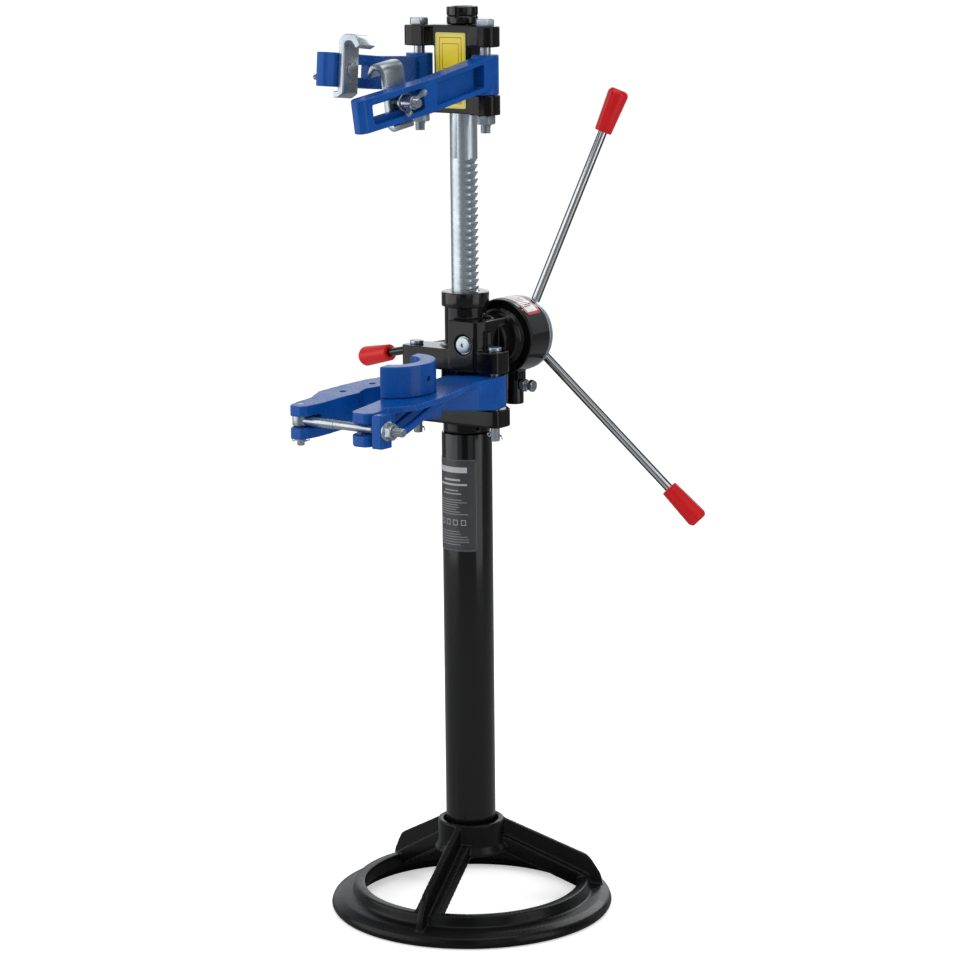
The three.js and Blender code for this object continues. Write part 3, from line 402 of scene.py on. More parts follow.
class Material(Graph):
    """A Principled material and the name of the slot it fills."""
    # A Principled material, with a slot name kept beside it that nothing in this script uses.

    def __init__(self, name, slot=None):
        self.material = bpy.data.materials.new(name)
        self.slot = slot or name
        super().__init__(self.material, "OutputMaterial", "Object")
        self.surface = self.node("BsdfPrincipled")
        self.put(self.out.inputs[0], self.surface.outputs[0])

    def set(self, **values):
        for name, value in values.items():
            self.put(self.surface.inputs[name.replace("_", " ")], value)

    def noise(self, scale, detail=2.0, rough=0.5, stretch=None):
        co = self.co
        if stretch:
            co = self.node("Mapping", {0: co, "Scale": stretch}).outputs[0]
        return self.node("TexNoise", {"Scale": scale, "Detail": detail, "Roughness": rough,
                                      "Vector": co}).outputs["Fac"]

    def mix(self, factor, *colours):
        one, two = (colour if isinstance(colour, bpy.types.NodeSocket) else (*colour, 1)
                    for colour in colours)
        return self.node("Mix", {"Factor": factor, "A": one, "B": two},
                         data_type="RGBA").outputs["Result"]

    def bump(self, *layers):
        """Stacks (height, strength, distance in mm) layers."""
        normal = None
        for height, strength, distance in layers:
            inputs = {"Strength": strength, "Distance": distance / 1000, "Height": height}
            if normal is not None:
                inputs["Normal"] = normal
            normal = self.node("Bump", inputs).outputs[0]
        self.set(Normal=normal)

    # label artwork: areas are (u0, u1, v0, v1) in the label's flat coordinates
    def uv(self):
        flat = self.node("UVMap", uv_map="UVMap").outputs[0]
        return self.node("SeparateXYZ", {0: flat}).outputs[:2]

    def rect(self, uv, area):
        over, under = ("GREATER_THAN", "LESS_THAN")
        u0, u1, v0, v1 = area
        return self.times(self.times(self.math(over, uv[0], u0), self.math(under, uv[0], u1)),
                          self.times(self.math(over, uv[1], v0), self.math(under, uv[1], v1)))

    def border(self, uv, area, wide, tall):
        """Outline of an area, with the widths of its sides along u and v."""
        u0, u1, v0, v1 = area
        inside = (u0 + wide, u1 - wide, v0 + tall, v1 - tall)
        return self.math("SUBTRACT", self.rect(uv, area), self.rect(uv, inside))

    def lines(self, uv, area, count, fill, ragged, seed):
        """Even plain bars of uneven length in place of text lines."""
        u0, u1, v0, v1 = area
        share = self.math("DIVIDE", self.math("SUBTRACT", uv[1], v0), v1 - v0)
        row = self.times(share, float(count))
        row_seed = self.math("ADD", self.math("FLOOR", row), seed + 0.5)
        random = self.node("TexWhiteNoise", {"W": row_seed}, noise_dimensions="1D")
        shorter = self.times(random.outputs["Value"], ragged * (u1 - u0))
        end = self.math("SUBTRACT", u1, shorter)
        inked = self.math("LESS_THAN", self.math("FRACT", row), fill)
        within = self.times(self.rect(uv, (u0, 2.0, v0, v1)), self.math("LESS_THAN", uv[0], end))
        return self.times(inked, within)


def scaled(colour, factor):
    return tuple(min(1, channel * factor) for channel in colour)


def paint(name, base, edge, rough, coat, grain, grain_scale, wave, edge_highlight_amount, dust, spec,
          slot=None):
    """Paint with cloudy tone, a painted highlight that lightens the edges, and specks; grain and
    wave are bump strengths.
    """
    look = Material(name, slot)
    cloud = look.noise(26, 4, 0.55)
    fine = look.noise(grain_scale, 3, 0.6)
    speck = look.ramp(look.noise(900, 1, 0.5), 0.71, 0.78)
    colour = look.mix(look.ramp(cloud, 0.3, 0.7), scaled(base, 0.86), scaled(base, 1.12))
    # painted highlight: convex edges, found by pointiness, lighten towards the edge colour
    edges = look.ramp(look.node("NewGeometry").outputs["Pointiness"], 0.52, 0.62)
    colour = look.mix(look.times(edges, edge_highlight_amount), colour, edge)
    colour = look.mix(look.times(speck, dust), colour, (0.55, 0.56, 0.58))
    roughness = look.math("ADD", look.ramp(cloud, 0.25, 0.75, rough * 0.8, rough * 1.25),
                          look.ramp(look.noise(220, 2), 0.35, 0.7, 0, rough * 0.25))
    look.set(Base_Color=colour, Roughness=roughness, Coat_Weight=coat, Coat_Roughness=0.08,
             Specular_IOR_Level=spec)
    look.bump((look.noise(95, 2), wave, 0.35), (fine, grain, 0.16))
    return look


def metal(name, base, tint, rough, grain=0.15, stretch=(1, 1, 1), brushed=0.1, spangle=0.25,
          cell_scale=160, slot=None):
    """Metal clouded from base to tint, with crystal cells (spangle) and brush lines."""
    look = Material(name, slot)
    cloud = look.noise(34, 5, 0.6)
    cells = look.node("TexVoronoi", {"Scale": cell_scale, "Vector": look.co}).outputs["Color"]
    colour = look.mix(look.ramp(cloud, 0.3, 0.72), base, tint)
    colour = look.mix(look.times(look.ramp(cells, 0.0, 1.0), spangle), colour, scaled(base, 1.2))
    brush = look.noise(700, 2, 0.5, stretch)
    roughness = look.math("ADD", look.ramp(cloud, 0.3, 0.7, rough * 0.75, rough * 1.2),
                          look.times(brush, brushed))
    look.set(Base_Color=colour, Metallic=0.9, Roughness=roughness)
    look.bump((brush, brushed * 0.9, 0.03), (look.noise(420, 3, 0.6), grain, 0.06))
    return look


def chrome():
    """Polished rod with painted reflection: light along the middle, a painted darker line on each
    side by viewing angle, and a soft light edge.
    """
    look = Material("chrome_rod")
    facing = look.node("LayerWeight", {0: 0.5}).outputs["Facing"]
    # painted reflection: a darker band of base colour at mid viewing angle on each side of the rod
    painted_reflection_band = look.times(look.ramp(facing, 0.16, 0.30), look.ramp(facing, 0.92, 0.72))
    colour = look.mix(look.ramp(look.noise(30, 3), 0.3, 0.7),
                      (0.93, 0.94, 0.96), (0.97, 0.975, 0.985))
    look.set(Base_Color=look.mix(painted_reflection_band, colour, (0.075, 0.08, 0.085)), Metallic=1.0,
             Roughness=look.ramp(look.noise(60, 3, 0.5), 0.3, 0.7, 0.10, 0.16))
    look.bump((look.noise(40, 2), 0.02, 0.05))
    return look


def red_plastic():
    look = Material("red_grip")
    cloud = look.noise(40, 3, 0.5)
    look.set(Base_Color=look.mix(cloud, (0.50, 0.0035, 0.006), (0.58, 0.005, 0.008)),
             Roughness=look.ramp(cloud, 0.3, 0.7, 0.26, 0.36), Coat_Weight=0.08,
             Coat_Roughness=0.15, Specular_IOR_Level=0.28)
    look.bump((look.noise(120, 2), 0.12, 0.3), (look.noise(900, 2), 0.08, 0.05))
    return look


def friction():
    look = Material("friction_lining")
    fibre = look.noise(600, 4, 0.7)
    look.set(Base_Color=look.mix(look.ramp(fibre, 0.35, 0.65),
                                 (0.05, 0.04, 0.033), (0.16, 0.13, 0.10)), Roughness=0.85)
    look.bump((fibre, 0.5, 0.2))
    return look


def label_finish(look, colour, rough_scale, rough, coat, coat_rough, wave_scale, wave):
    """Printed film: roughness range, clear coat and a slight waviness (scale, strength, mm)."""
    look.set(Base_Color=colour, Roughness=look.ramp(look.noise(rough_scale), 0.3, 0.7, *rough),
             Coat_Weight=coat, Coat_Roughness=coat_rough)
    look.bump((look.noise(wave_scale, 2), *wave))
    return look


def column_label():
    look = Material("grey_label")
    uv = look.uv()
    colour = look.mix(look.noise(60, 3), (0.032, 0.034, 0.037), (0.044, 0.046, 0.05))
    header = look.rect(uv, (0.10, 0.80, 0.855, 0.915))
    colour = look.mix(header, colour, (0.42, 0.43, 0.44))
    # plain bars: area, grey
    for *area, grey in ((0.26, 0.66, 0.765, 0.787, 0.36), (0.12, 0.80, 0.715, 0.737, 0.36),
                        (0.28, 0.62, 0.655, 0.668, 0.28), (0.22, 0.68, 0.620, 0.633, 0.28)):
        colour = look.mix(look.rect(uv, area), colour, (grey, grey, grey))
    text = look.lines(uv, (0.12, 0.84, 0.40, 0.58), count=7, fill=0.34, ragged=0.4, seed=3.0)
    colour = look.mix(text, colour, (0.20, 0.20, 0.205))
    for i in range(4):
        left = 0.16 + 0.17 * i
        square = look.border(uv, (left, left + 0.10, 0.285, 0.345), 0.012, 0.007)
        colour = look.mix(square, colour, (0.34, 0.34, 0.345))
    text = look.lines(uv, (0.10, 0.86, 0.07, 0.24), count=6, fill=0.32, ragged=0.3, seed=11.0)
    colour = look.mix(text, colour, (0.18, 0.18, 0.185))
    edge = look.border(uv, (0.015, 0.985, 0.008, 0.992), 0.01, 0.006)
    colour = look.mix(edge, colour, (0.10, 0.10, 0.105))
    return label_finish(look, colour, rough_scale=80, rough=(0.30, 0.42), coat=0.2,
                        coat_rough=0.2, wave_scale=60, wave=(0.15, 0.2))


def bracket_label():
    look = Material("yellow_label")
    uv = look.uv()
    black = (0.012, 0.012, 0.012)
    colour = look.mix(look.noise(50, 3), (0.84, 0.66, 0.018), (0.90, 0.73, 0.03))
    # borders: area, side widths, colour
    for area, wide, tall, ink in (((0.0, 1.0, 0.0, 1.0), 0.06, 0.03, (0.66, 0.60, 0.10)),
                                  ((0.13, 0.87, 0.06, 0.94), 0.016, 0.008, black),
                                  ((0.22, 0.78, 0.52, 0.86), 0.02, 0.01, (0.55, 0.10, 0.01))):
        colour = look.mix(look.border(uv, area, wide, tall), colour, ink)
    text = look.lines(uv, (0.22, 0.80, 0.20, 0.46), count=6, fill=0.42, ragged=0.25, seed=5.0)
    colour = look.mix(text, colour, black)
    footer = look.rect(uv, (0.16, 0.84, 0.075, 0.165))
    colour = look.mix(footer, colour, (0.62, 0.045, 0.012))
    return label_finish(look, colour, rough_scale=90, rough=(0.25, 0.38), coat=0.35,
                        coat_rough=0.12, wave_scale=70, wave=(0.12, 0.15))


def brake_label():
    look = Material("white_label")
    u, v = look.uv()
    colour = look.mix(look.noise(60, 3), (0.74, 0.73, 0.72), (0.82, 0.81, 0.80))
    stripes, *others = [look.rect((u, v), area) for area in (
        (-1, 2, 0.02, 0.11), (-1, 2, 0.89, 0.98), (0.0, 0.05, -1, 2))]
    for stripe in others:
        stripes = look.math("MAXIMUM", stripes, stripe)
    colour = look.mix(stripes, colour, (0.46, 0.012, 0.035))
    # these lines run along v
    text = look.lines((v, u), (0.18, 0.80, 0.16, 0.96), count=17, fill=0.42, ragged=0.3, seed=2.0)
    colour = look.mix(text, colour, (0.06, 0.06, 0.065))
    return label_finish(look, colour, rough_scale=80, rough=(0.26, 0.40), coat=0.3,
                        coat_rough=0.15, wave_scale=60, wave=(0.15, 0.15))


# edge is the colour of each paint's painted highlight on convex edges
BLACK_GLOSS = paint("black_gloss_paint", base=(0.0030, 0.0030, 0.0034), edge=(0.022, 0.022, 0.025),
                    rough=0.15, coat=0.30, grain=0.10, grain_scale=520, wave=0.10,
                    edge_highlight_amount=0.35, dust=0.02, spec=0.38)
BLACK_CAST = paint("black_cast_gloss", base=(0.0026, 0.0026, 0.0029), edge=(0.030, 0.030, 0.033),
                   rough=0.15, coat=0.24, grain=0.26, grain_scale=400, wave=0.30,
                   edge_highlight_amount=0.35, dust=0.02, spec=0.22, slot="black_gloss_paint")
BLACK_SATIN = paint("black_satin_cast", base=(0.0034, 0.0034, 0.0038), edge=(0.032, 0.032, 0.035),
                    rough=0.26, coat=0.08, grain=0.45, grain_scale=380, wave=0.40,
                    edge_highlight_amount=0.45, dust=0.03, spec=0.18)
BLUE = paint("blue_enamel", base=(0.0008, 0.066, 0.31), edge=(0.006, 0.14, 0.46),
             rough=0.25, coat=0.08, grain=0.07, grain_scale=460, wave=0.07,
             edge_highlight_amount=0.25, dust=0.0, spec=0.22, slot="blue_paint")
ZINC = metal("zinc_plate", base=(0.50, 0.55, 0.59), tint=(0.40, 0.46, 0.51), rough=0.22,
             grain=0.2, spangle=0.2)
ZINC_BAR = metal("zinc_bar", base=(0.60, 0.66, 0.70), tint=(0.46, 0.54, 0.60), rough=0.24,
                 grain=0.25, stretch=(1, 1, 0.06), brushed=0.12, spangle=0.3, cell_scale=260,
                 slot="zinc_plate")
STEEL = metal("machined_steel", base=(0.52, 0.53, 0.54), tint=(0.42, 0.43, 0.45), rough=0.32,
              brushed=0.16, spangle=0.1)
CHROME = chrome()
BRONZE = metal("bronze_bush", base=(0.48, 0.28, 0.10), tint=(0.38, 0.21, 0.08), rough=0.35,
               grain=0.3)
RED = red_plastic()
FRICTION = friction()

# ------------------------------------------------------------------ base and column
OPENING_R, RIM_TOP = 121, 29
HUB_R, HUB_Z0, HUB_Z1 = 37.4, 66, 102
SOCKET_R, SOCKET_Z = TUBE_R + 0.3, TUBE_Z0 - 0.3
LIP_R, LIP_Z = 31, HUB_Z1 - 9      # wider mouth of the tube socket
base = lathe([(OPENING_R, 13, 1.5), (128, 11.5, 4), (133.5, 0.02, 1), (157, 0.02, 1.5),
              (160, 5, 3), (157.5, 11.5, 4), (148, 15.4, 8), (135.4, 17.4, 2.5),
              (132.6, RIM_TOP, 2), (OPENING_R, RIM_TOP, 2)], 160, 4)
hub = lathe([(20, HUB_Z0), (43, HUB_Z0, 2), (HUB_R, HUB_Z0 + 9, 4), (HUB_R, HUB_Z1, 1.2),
             (LIP_R, HUB_Z1, 1), (LIP_R, LIP_Z), (SOCKET_R, LIP_Z), (SOCKET_R, SOCKET_Z),
             (20, SOCKET_Z)])
bore = turned([(0, 50), (20, 50), (20, SOCKET_Z), (SOCKET_R, SOCKET_Z), (SOCKET_R, LIP_Z),
               (LIP_R, LIP_Z), (LIP_R, HUB_Z1 + 20), (0, HUB_Z1 + 20)])
legs = []
for angle in (-78, 41, 161):
    upright = prism_y([(30, 100), (37, 100), (135, 50, 24), (149.5, 26, 22), (150.5, 14),
                       (134, 12), (124, 20), (30, 70)], -3.6, 3.6)
    plate = prism_y([(30, 82), (40, 79), (128, 31), (128, 20), (118, 18), (34, 64), (30, 66)],
                    -14, 14)
    heading = Matrix.Rotation(radians(angle), 4, "Z")
    legs += [place(upright, heading), place(plate, heading)]
cast_piece("base_casting", minus(union(base, hub, *legs), bore), BLACK_SATIN, 1.15, keep=0.45)
piece("column_tube", lathe([(TUBE_R - TUBE_WALL, TUBE_Z0, 0.4), (TUBE_R, TUBE_Z0, 0.5),
                            (TUBE_R, TUBE_Z1, 0.8), (TUBE_R - TUBE_WALL, TUBE_Z1, 0.4)], 128),
      BLACK_GLOSS)


# ------------------------------------------------------------------ labels bent round cylinders
def curved_label(node, finish, inner, outer, angles, widths, point, corner_radius):
    """Thin bent sheet with rounded corners and flat coordinates; point(angle, width, radius)."""
    columns, rows = 48, 24
    arc = radians(abs(angles[1] - angles[0])) * outer
    height = abs(widths[1] - widths[0])
    verts, uvs = [], []
    for radius in (outer, inner):
        for j in range(rows + 1):
            v = j / rows
            # rows near a corner draw in along a quarter circle
            edge = min(v, 1 - v) * height
            inset = 0
            if edge < corner_radius:
                drop = corner_radius - edge
                inset = (corner_radius - sqrt(max(0, corner_radius ** 2 - drop ** 2))) / arc
            for i in range(columns + 1):
                u = inset + (1 - 2 * inset) * i / columns
                verts.append(point(angles[0] + (angles[1] - angles[0]) * u,
                                   widths[0] + (widths[1] - widths[0]) * v, radius))
                uvs.append((u, v))
    back = (columns + 1) * (rows + 1)
    faces = []

    def index(i, j):
        return j * (columns + 1) + i

    for j in range(rows):
        for i in range(columns):
            quad = (index(i, j), index(i + 1, j), index(i + 1, j + 1), index(i, j + 1))
            faces.append(quad)
            faces.append(tuple(back + quad[k] for k in (0, 3, 2, 1)))
    rim = [index(i, 0) for i in range(columns + 1)]
    rim += [index(columns, j) for j in range(1, rows + 1)]
    rim += [index(i, rows) for i in range(columns - 1, -1, -1)]
    rim += [index(0, j) for j in range(rows - 1, 0, -1)]
    for one, two in zip(rim, rim[1:] + rim[:1]):
        faces.append((two, one, back + one, back + two))
    me = mesh(verts, faces)
    layer = me.uv_layers.new(name="UVMap")
    for loop in me.loops:
        layer.data[loop.index].uv = uvs[loop.vertex_index]
    piece(node, outward(me), finish, 40)


def column_point(angle, width, radius):
    return radius * cos(radians(angle)), radius * sin(radians(angle)), width


def drum_point(angle, width, radius):
    return (PINION_X + radius * cos(radians(angle)), width,
            PINION_Z + radius * sin(radians(angle)))


curved_label("column_label", column_label(), inner=TUBE_R + 0.1, outer=TUBE_R + 0.45,
             angles=(-146, -33), widths=(416.5, 520.5), point=column_point, corner_radius=2.5)
curved_label("brake_label", brake_label(), inner=DRUM_R + 0.15, outer=DRUM_R + 0.5,
             angles=(38, 128), widths=(41, 66), point=drum_point, corner_radius=1.2)

# ------------------------------------------------------------------ head casting
EAR_Z = (561, 580, 620.5, 644)     # bottom and top of the lower and upper ears
spigot = cylinder(23.6, 500, TUBE_Z1 + 0.3)
neck = cylinder(26, TUBE_Z1 + 0.3, EAR_Z[0] + 1)
barrel = cylinder(27.5, EAR_Z[0], 646)
upper = cylinder(23, 645, 688)
lower_ears = prism([(-52, -35.5, 6), (52, -35.5, 6), (64.5, -34, 10), (64.5, -8, 10),
                    (30, 24, 10), (-30, 24, 10), (-64.5, -8, 10), (-64.5, -34, 10)],
                   EAR_Z[0], EAR_Z[1])
upper_ears = prism([(-52, -35.5, 6), (-4, -36.8), (52, -35.5, 6), (64.5, -34, 12), (64.5, -6, 12),
                    (40, 4, 6), (-20, 12, 8), (-64.5, -4, 10), (-64.5, -34, 10)],
                   EAR_Z[2], EAR_Z[3])
block = prism([(0.5, -37, 3), (38.5, -37, 6), (44, -24, 6), (44, 20, 6), (0.5, 20, 3)],
              EAR_Z[2], 676)
pinion_neck = pinion_turned([(0, 0), (30, 0), (28.2, 14), (27.6, 24), (30, 31), (33, 33.9),
                             (0, 33.9)])
head = union(spigot, neck, barrel, upper, lower_ears, upper_ears, block, pinion_neck)
cuts = [cylinder(11.5, EAR_Z[3], 665, LOWER_PIN_X + 1, PIN_Y - 2),
        prism([(45, -40), (80, -40), (80, -2), (45, -8)], EAR_Z[3], 690),
        cylinder(ROD_R + 0.3, 495, 692, sides=96),
        pinion_turned([(0, -33.6), (10.1, -33.6), (10.1, -13.3), (14.9, -13.3), (14.9, 13.3),
                       (15.1, 13.3), (15.1, 36), (0, 36)]),
        pinion_turned([(0, -40), (11, -40), (11, -33.9), (9, -33.9), (9, -30), (0, -30)])]
for _, sign in SIDES:
    cuts += [cylinder(5.25, 540, 670, sign * LOWER_PIN_X, PIN_Y),
             cylinder(14.9, EAR_Z[1], EAR_Z[2], sign * LOWER_PIN_X, PIN_Y)]
# small cross hole in the neck
hole_x, hole_y = 26 * cos(radians(-28)), 26 * sin(radians(-28))
cuts.append(bar((hole_x * 1.1, hole_y * 1.1, 554.5), (hole_x * 0.8, hole_y * 0.8, 554.5), 2.3, 32))
cast_piece("head_casting", minus(head, *cuts), BLACK_CAST, 0.75)
piece("guide_collar", lathe([(ROD_R + 0.15, 688.3, 0.3), (26.2, 688.3, 0.5), (26.2, 704, 1.1),
                             (16.5, 704, 0.4), (ROD_R + 0.15, 703)], 128), BLACK_GLOSS)

# ------------------------------------------------------------------ brake drum, adjuster
CUP_R = 37.5
BOSS_X, BOSS_Y = BOSS
BOSS_R = 10.2
cup = pinion_lathe([(17, DRUM_Y[0], 0.3), (DRUM_R, DRUM_Y[0], 1.5), (DRUM_R, DRUM_Y[1], 0.5),
                    (CUP_R, DRUM_Y[1], 0.4), (CUP_R, 40, 1), (17, 40, 0.3)], 128)
boss = union(cylinder(BOSS_R, 572.5, 612, *BOSS),
             box(BOSS_X - BOSS_R, BOSS_X + BOSS_R, BOSS_Y - 8, BOSS_Y + 8, 600, 612))
drum = minus(union(cup, boss), pinion_turned([(0, 40), (CUP_R, 40), (CUP_R, 80), (0, 80)], 128),
             cylinder(4.4, 580, 620, *BOSS), cylinder(6.0, 560, 604.4, *BOSS),
             bar((BOSS_X + 4, BOSS_Y, BOLT_Z), (BOSS_X + 14, BOSS_Y, BOLT_Z), 4.05))
cast_piece("brake_housing", drum, BLACK_GLOSS, 0.6, smooth=4)


def adjuster_axis(x):
    return Matrix.Translation((x, BOSS_Y, BOLT_Z)) @ Z_TO_X


bolt = union(threaded(3.9, 0, 15.2, 1.25, start=0.6, end=0),
             hex_nut(12, 14.8, 20, chamfer_low=False))
piece("adjuster_bolt", place(bolt, adjuster_axis(BOSS_X + 6.2)), ZINC)
piece("adjuster_lock_nut", place(hex_nut(13, 0, 5.5, 4.05), adjuster_axis(BOSS_X + 10.6)), ZINC)

# ------------------------------------------------------------------ lower hinge pins, split pins
COTTER_Z = 551
for side, sign in SIDES:
    x = sign * LOWER_PIN_X
    hinge_pin = lathe([(0, 544.5), (5, 544.5, 0.9), (5, 644.2), (7.6, 644.3, 0.2),
                       (7.6, 648.3, 0.8), (0, 648.3)], 64)
    hole = bar((x - 9, PIN_Y, COTTER_Z), (x + 9, PIN_Y, COTTER_Z), 1.5, 24)
    piece("lower_pin_" + side,
          minus(place(hinge_pin, Matrix.Translation((x, PIN_Y, 0))), hole), ZINC)


def split_pin(node, y, z, x_in, x_out, loop_radius, tip):
    """Ring head and two round legs along x; one leg is bent over towards the tip."""
    wire = 0.75
    circle = [2 * pi * i / 12 for i in range(12)]
    ring = turned([(loop_radius + wire * cos(t), wire * sin(t)) for t in circle], 32)
    ring = place(ring, Matrix.Translation((x_in - loop_radius + 0.3, y, z))
                 @ Matrix.Rotation(pi / 2, 4, "X"))
    # start, end, radius
    legs = [((x_in - 0.4, y, z + 0.5), (x_out, y, z + 0.5), 0.66),
            ((x_in - 0.4, y, z - 0.5), (x_out - 1, y, z - 0.5), 0.66),
            ((x_out - 0.4, y, z + 0.4), tip, 0.62)]
    piece(node, union(ring, *[bar(*leg, 20, chamfer=0.2) for leg in legs]), ZINC, 50)


for side, sign in SIDES:
    x = sign * LOWER_PIN_X
    split_pin("cotter_" + side, PIN_Y, COTTER_Z, x - 6.2, x + 8.2, 1.9, (x + 9.4, PIN_Y, 546.9))

# ------------------------------------------------------------------ front end of the pinion
washer = []                        # serrated edge
for i in range(72):
    angle = 2 * pi * i / 72
    radius = 9.95 if i % 2 == 0 else 9.5
    washer.append((PINION_X + radius * cos(angle), PINION_Z + radius * sin(angle)))
washer_hole = pinion_turned([(0, -40), (4.4, -40), (4.4, -30), (0, -30)], 48)
piece("pinion_washer", minus(prism_y(washer, -35.5, -34.2), washer_hole), ZINC, 30)
screw = pinion_lathe([(0, -38), (8.75, -38, 0.6), (8.75, -35.6, 0.2), (3.9, -35.6), (3.9, -25),
                      (0, -25)], 64)
socket = prism_y([(x + PINION_X, z + PINION_Z) for x, z in hexagon(4.5)], -42, -36.2)
piece("pinion_screw", minus(screw, socket), ZINC, 30)

# ------------------------------------------------------------------ handle hub, rods, grips
HANDLE_CONE = radians(13.8)        # the rods lean towards +Y by this much
HANDLE_ANGLES = (17.6, 137.6, 257.6)
HANDLE_LENGTH, HUB_Y = 289, 80


def handle_point(angle, length):
    angle = radians(angle)
    direction = Vector((cos(HANDLE_CONE) * sin(angle), sin(HANDLE_CONE),
                        cos(HANDLE_CONE) * cos(angle)))
    return Vector((PINION_X, HUB_Y, PINION_Z)) + direction * length


handle_hub = pinion_lathe([(6.3, 66.3, 0.3), (28, 66.3, 0.5), (28, 71, 0.5), (20, 71), (20, 72.4),
                           (41.6, 72.4, 0.7), (41.6, 78.4, 0.9), (26, 78.4, 1.2), (24, 82, 1.5),
                           (24, 97.5, 1.6), (6.3, 97.5, 0.4)], 128)
for angle in HANDLE_ANGLES:
    handle_hub = minus(handle_hub, bar(handle_point(angle, 11), handle_point(angle, 40), 5.15))
piece("handle_hub", handle_hub, ZINC, 30)
piece("hub_nut", place(hex_nut(21, 97.8, 105, 6.3), PINION_AXIS), ZINC)
for i, angle in enumerate(HANDLE_ANGLES, 1):
    piece("handle_rod_%d" % i, bar(handle_point(angle, 13),
                                   handle_point(angle, HANDLE_LENGTH - 6), 5, 64, chamfer=0.6),
          CHROME)
    grip = turned(rounded([(5.15, 0, 0.3), (9.6, 0, 1.0), (10.3, 14, 12), (11.75, 45.2, 2.5),
                           (9.2, 49.7, 2.6), (0.001, 49.95), (0.001, 44.6), (5.15, 44.6)], 4), 72)
    matrix, _ = along(handle_point(angle, HANDLE_LENGTH - 50), handle_point(angle, HANDLE_LENGTH))
    piece("grip_%d" % i, place(grip, matrix), RED, 40)

# ------------------------------------------------------------------ rack rod
TOOTH_PITCH = pi * 2.5
TOOTH_TIP_X, TOOTH_PITCH_X, TOOTH_ROOT_X = 13.25, 10.75, 7.75
FIRST_GAP, LAST_GAP = -11, 25      # tooth gaps counted in pitches from the pinion's height


def rack():
    """Round bar with teeth cut into its +X side."""
    slope = tan(radians(20))
    mouth = TOOTH_PITCH / 2 + 2 * (TOOTH_TIP_X - TOOTH_PITCH_X) * slope
    root = TOOTH_PITCH / 2 - 2 * (TOOTH_PITCH_X - TOOTH_ROOT_X) * slope
    line = [(15.2, ROD_Z0 + 2)]
    for k in range(FIRST_GAP, LAST_GAP + 1):
        z = PINION_Z + k * TOOTH_PITCH
        if k == FIRST_GAP:
            line += [(15.2, z - mouth / 2 - 1.2), (TOOTH_TIP_X, z - mouth / 2 - 1.15)]
        line += [(TOOTH_TIP_X, z - mouth / 2, 0.45), (TOOTH_ROOT_X, z - root / 2, 0.9),
                 (TOOTH_ROOT_X, z + root / 2, 0.9), (TOOTH_TIP_X, z + mouth / 2, 0.45)]
        if k == LAST_GAP:
            line += [(TOOTH_TIP_X, z + mouth / 2 + 1.15), (15.2, z + mouth / 2 + 1.2)]
    line.append((15.2, 984))
    # far points close the outline while its corners are rounded, then go
    points = rounded([(30, ROD_Z0 - 10), *line, (30, 1000)], 2)
    # each row is bar radius, z, and x of the flat
    full = 99
    rows = [(ROD_R - 1, ROD_Z0, full), (ROD_R, ROD_Z0 + 1, full)]
    rows += [(ROD_R, z, x) for x, z in points if x <= 15.21]
    rows += [(ROD_R, 984.6, full), (ROD_R - 0.4, 985, full)]
    arc_steps, flat_steps = 60, 8
    verts, faces = [], []
    for radius, z, x in rows:
        x = min(x, radius - 0.02)
        half = acos(x / radius)
        for i in range(arc_steps + 1):
            angle = half + (2 * pi - 2 * half) * i / arc_steps
            verts.append((radius * cos(angle), radius * sin(angle), z))
        for i in range(1, flat_steps):
            y = -radius * sin(half) + 2 * radius * sin(half) * i / flat_steps
            verts.append((x, y, z))
    count = arc_steps + flat_steps
    for j in range(len(rows) - 1):
        one, two = j * count, (j + 1) * count
        for i in range(count):
            k = (i + 1) % count
            faces.append((one + i, one + k, two + k, two + i))
    faces.append(tuple(range(count - 1, -1, -1)))
    faces.append(tuple(range((len(rows) - 1) * count, len(rows) * count)))
    return outward(mesh(verts, faces))


rack_bar = minus(rack(), cylinder(4.45, ROD_Z0 - 5, ROD_Z0 + 18))
piece("rack_rod", union(rack_bar, threaded(12, 980, ROD_Z1, 2.0, depth=0.9, end=1.2)),
      ZINC_BAR, 28)

# ------------------------------------------------------------------ upper bracket
BRACKET_EAR_Z = (899.5, 920.8, 971.7, 993.8)
ARM_HUB_R = 14.5
body = prism([(-24, -21.5, 3), (24, -21.5, 3), (24, 20, 7), (-24, 20, 7)], 899.9, 994)
ear = [(-43.3, -34, 8), (-30, -33, 3), (-25, -21.5, 3), (25, -21.5, 3), (30, -33, 3),
       (43.3, -34, 8), (58.3, -31, 12), (58.3, -9, 12), (42, -5.5, 5), (24, 8, 6), (-24, 8, 6),
       (-42, -5.5, 5), (-58.3, -9, 12), (-58.3, -31, 12)]
bracket = union(body, prism(ear, *BRACKET_EAR_Z[:2]), prism(ear, *BRACKET_EAR_Z[2:]))
cuts = [cylinder(ROD_R + 0.35, 890, 985.3, sides=96), cylinder(12.4, 980, 1000)]
for _, sign in SIDES:
    cuts += [cylinder(6.25, 890, 1000, sign * UPPER_BOLT_X, PIN_Y),
             cylinder(ARM_HUB_R + 1.2, *BRACKET_EAR_Z[1:3], sign * UPPER_BOLT_X, PIN_Y)]
cast_piece("upper_bracket", minus(bracket, *cuts), BLACK_CAST, 0.7)

LABEL_X, LABEL_Z = (-20.2, 19.2), (905, 986)
plate = prism_y([(LABEL_X[0], LABEL_Z[0], 2), (LABEL_X[1], LABEL_Z[0], 2),
                 (LABEL_X[1], LABEL_Z[1], 2), (LABEL_X[0], LABEL_Z[1], 2)], -22.3, -21.8)
layer = plate.uv_layers.new(name="UVMap")
for loop in plate.loops:
    spot = plate.vertices[loop.vertex_index].co
    layer.data[loop.index].uv = ((spot.x + 20.2) / 39.4, (spot.z - 905) / 81)
piece("bracket_label", plate, bracket_label())

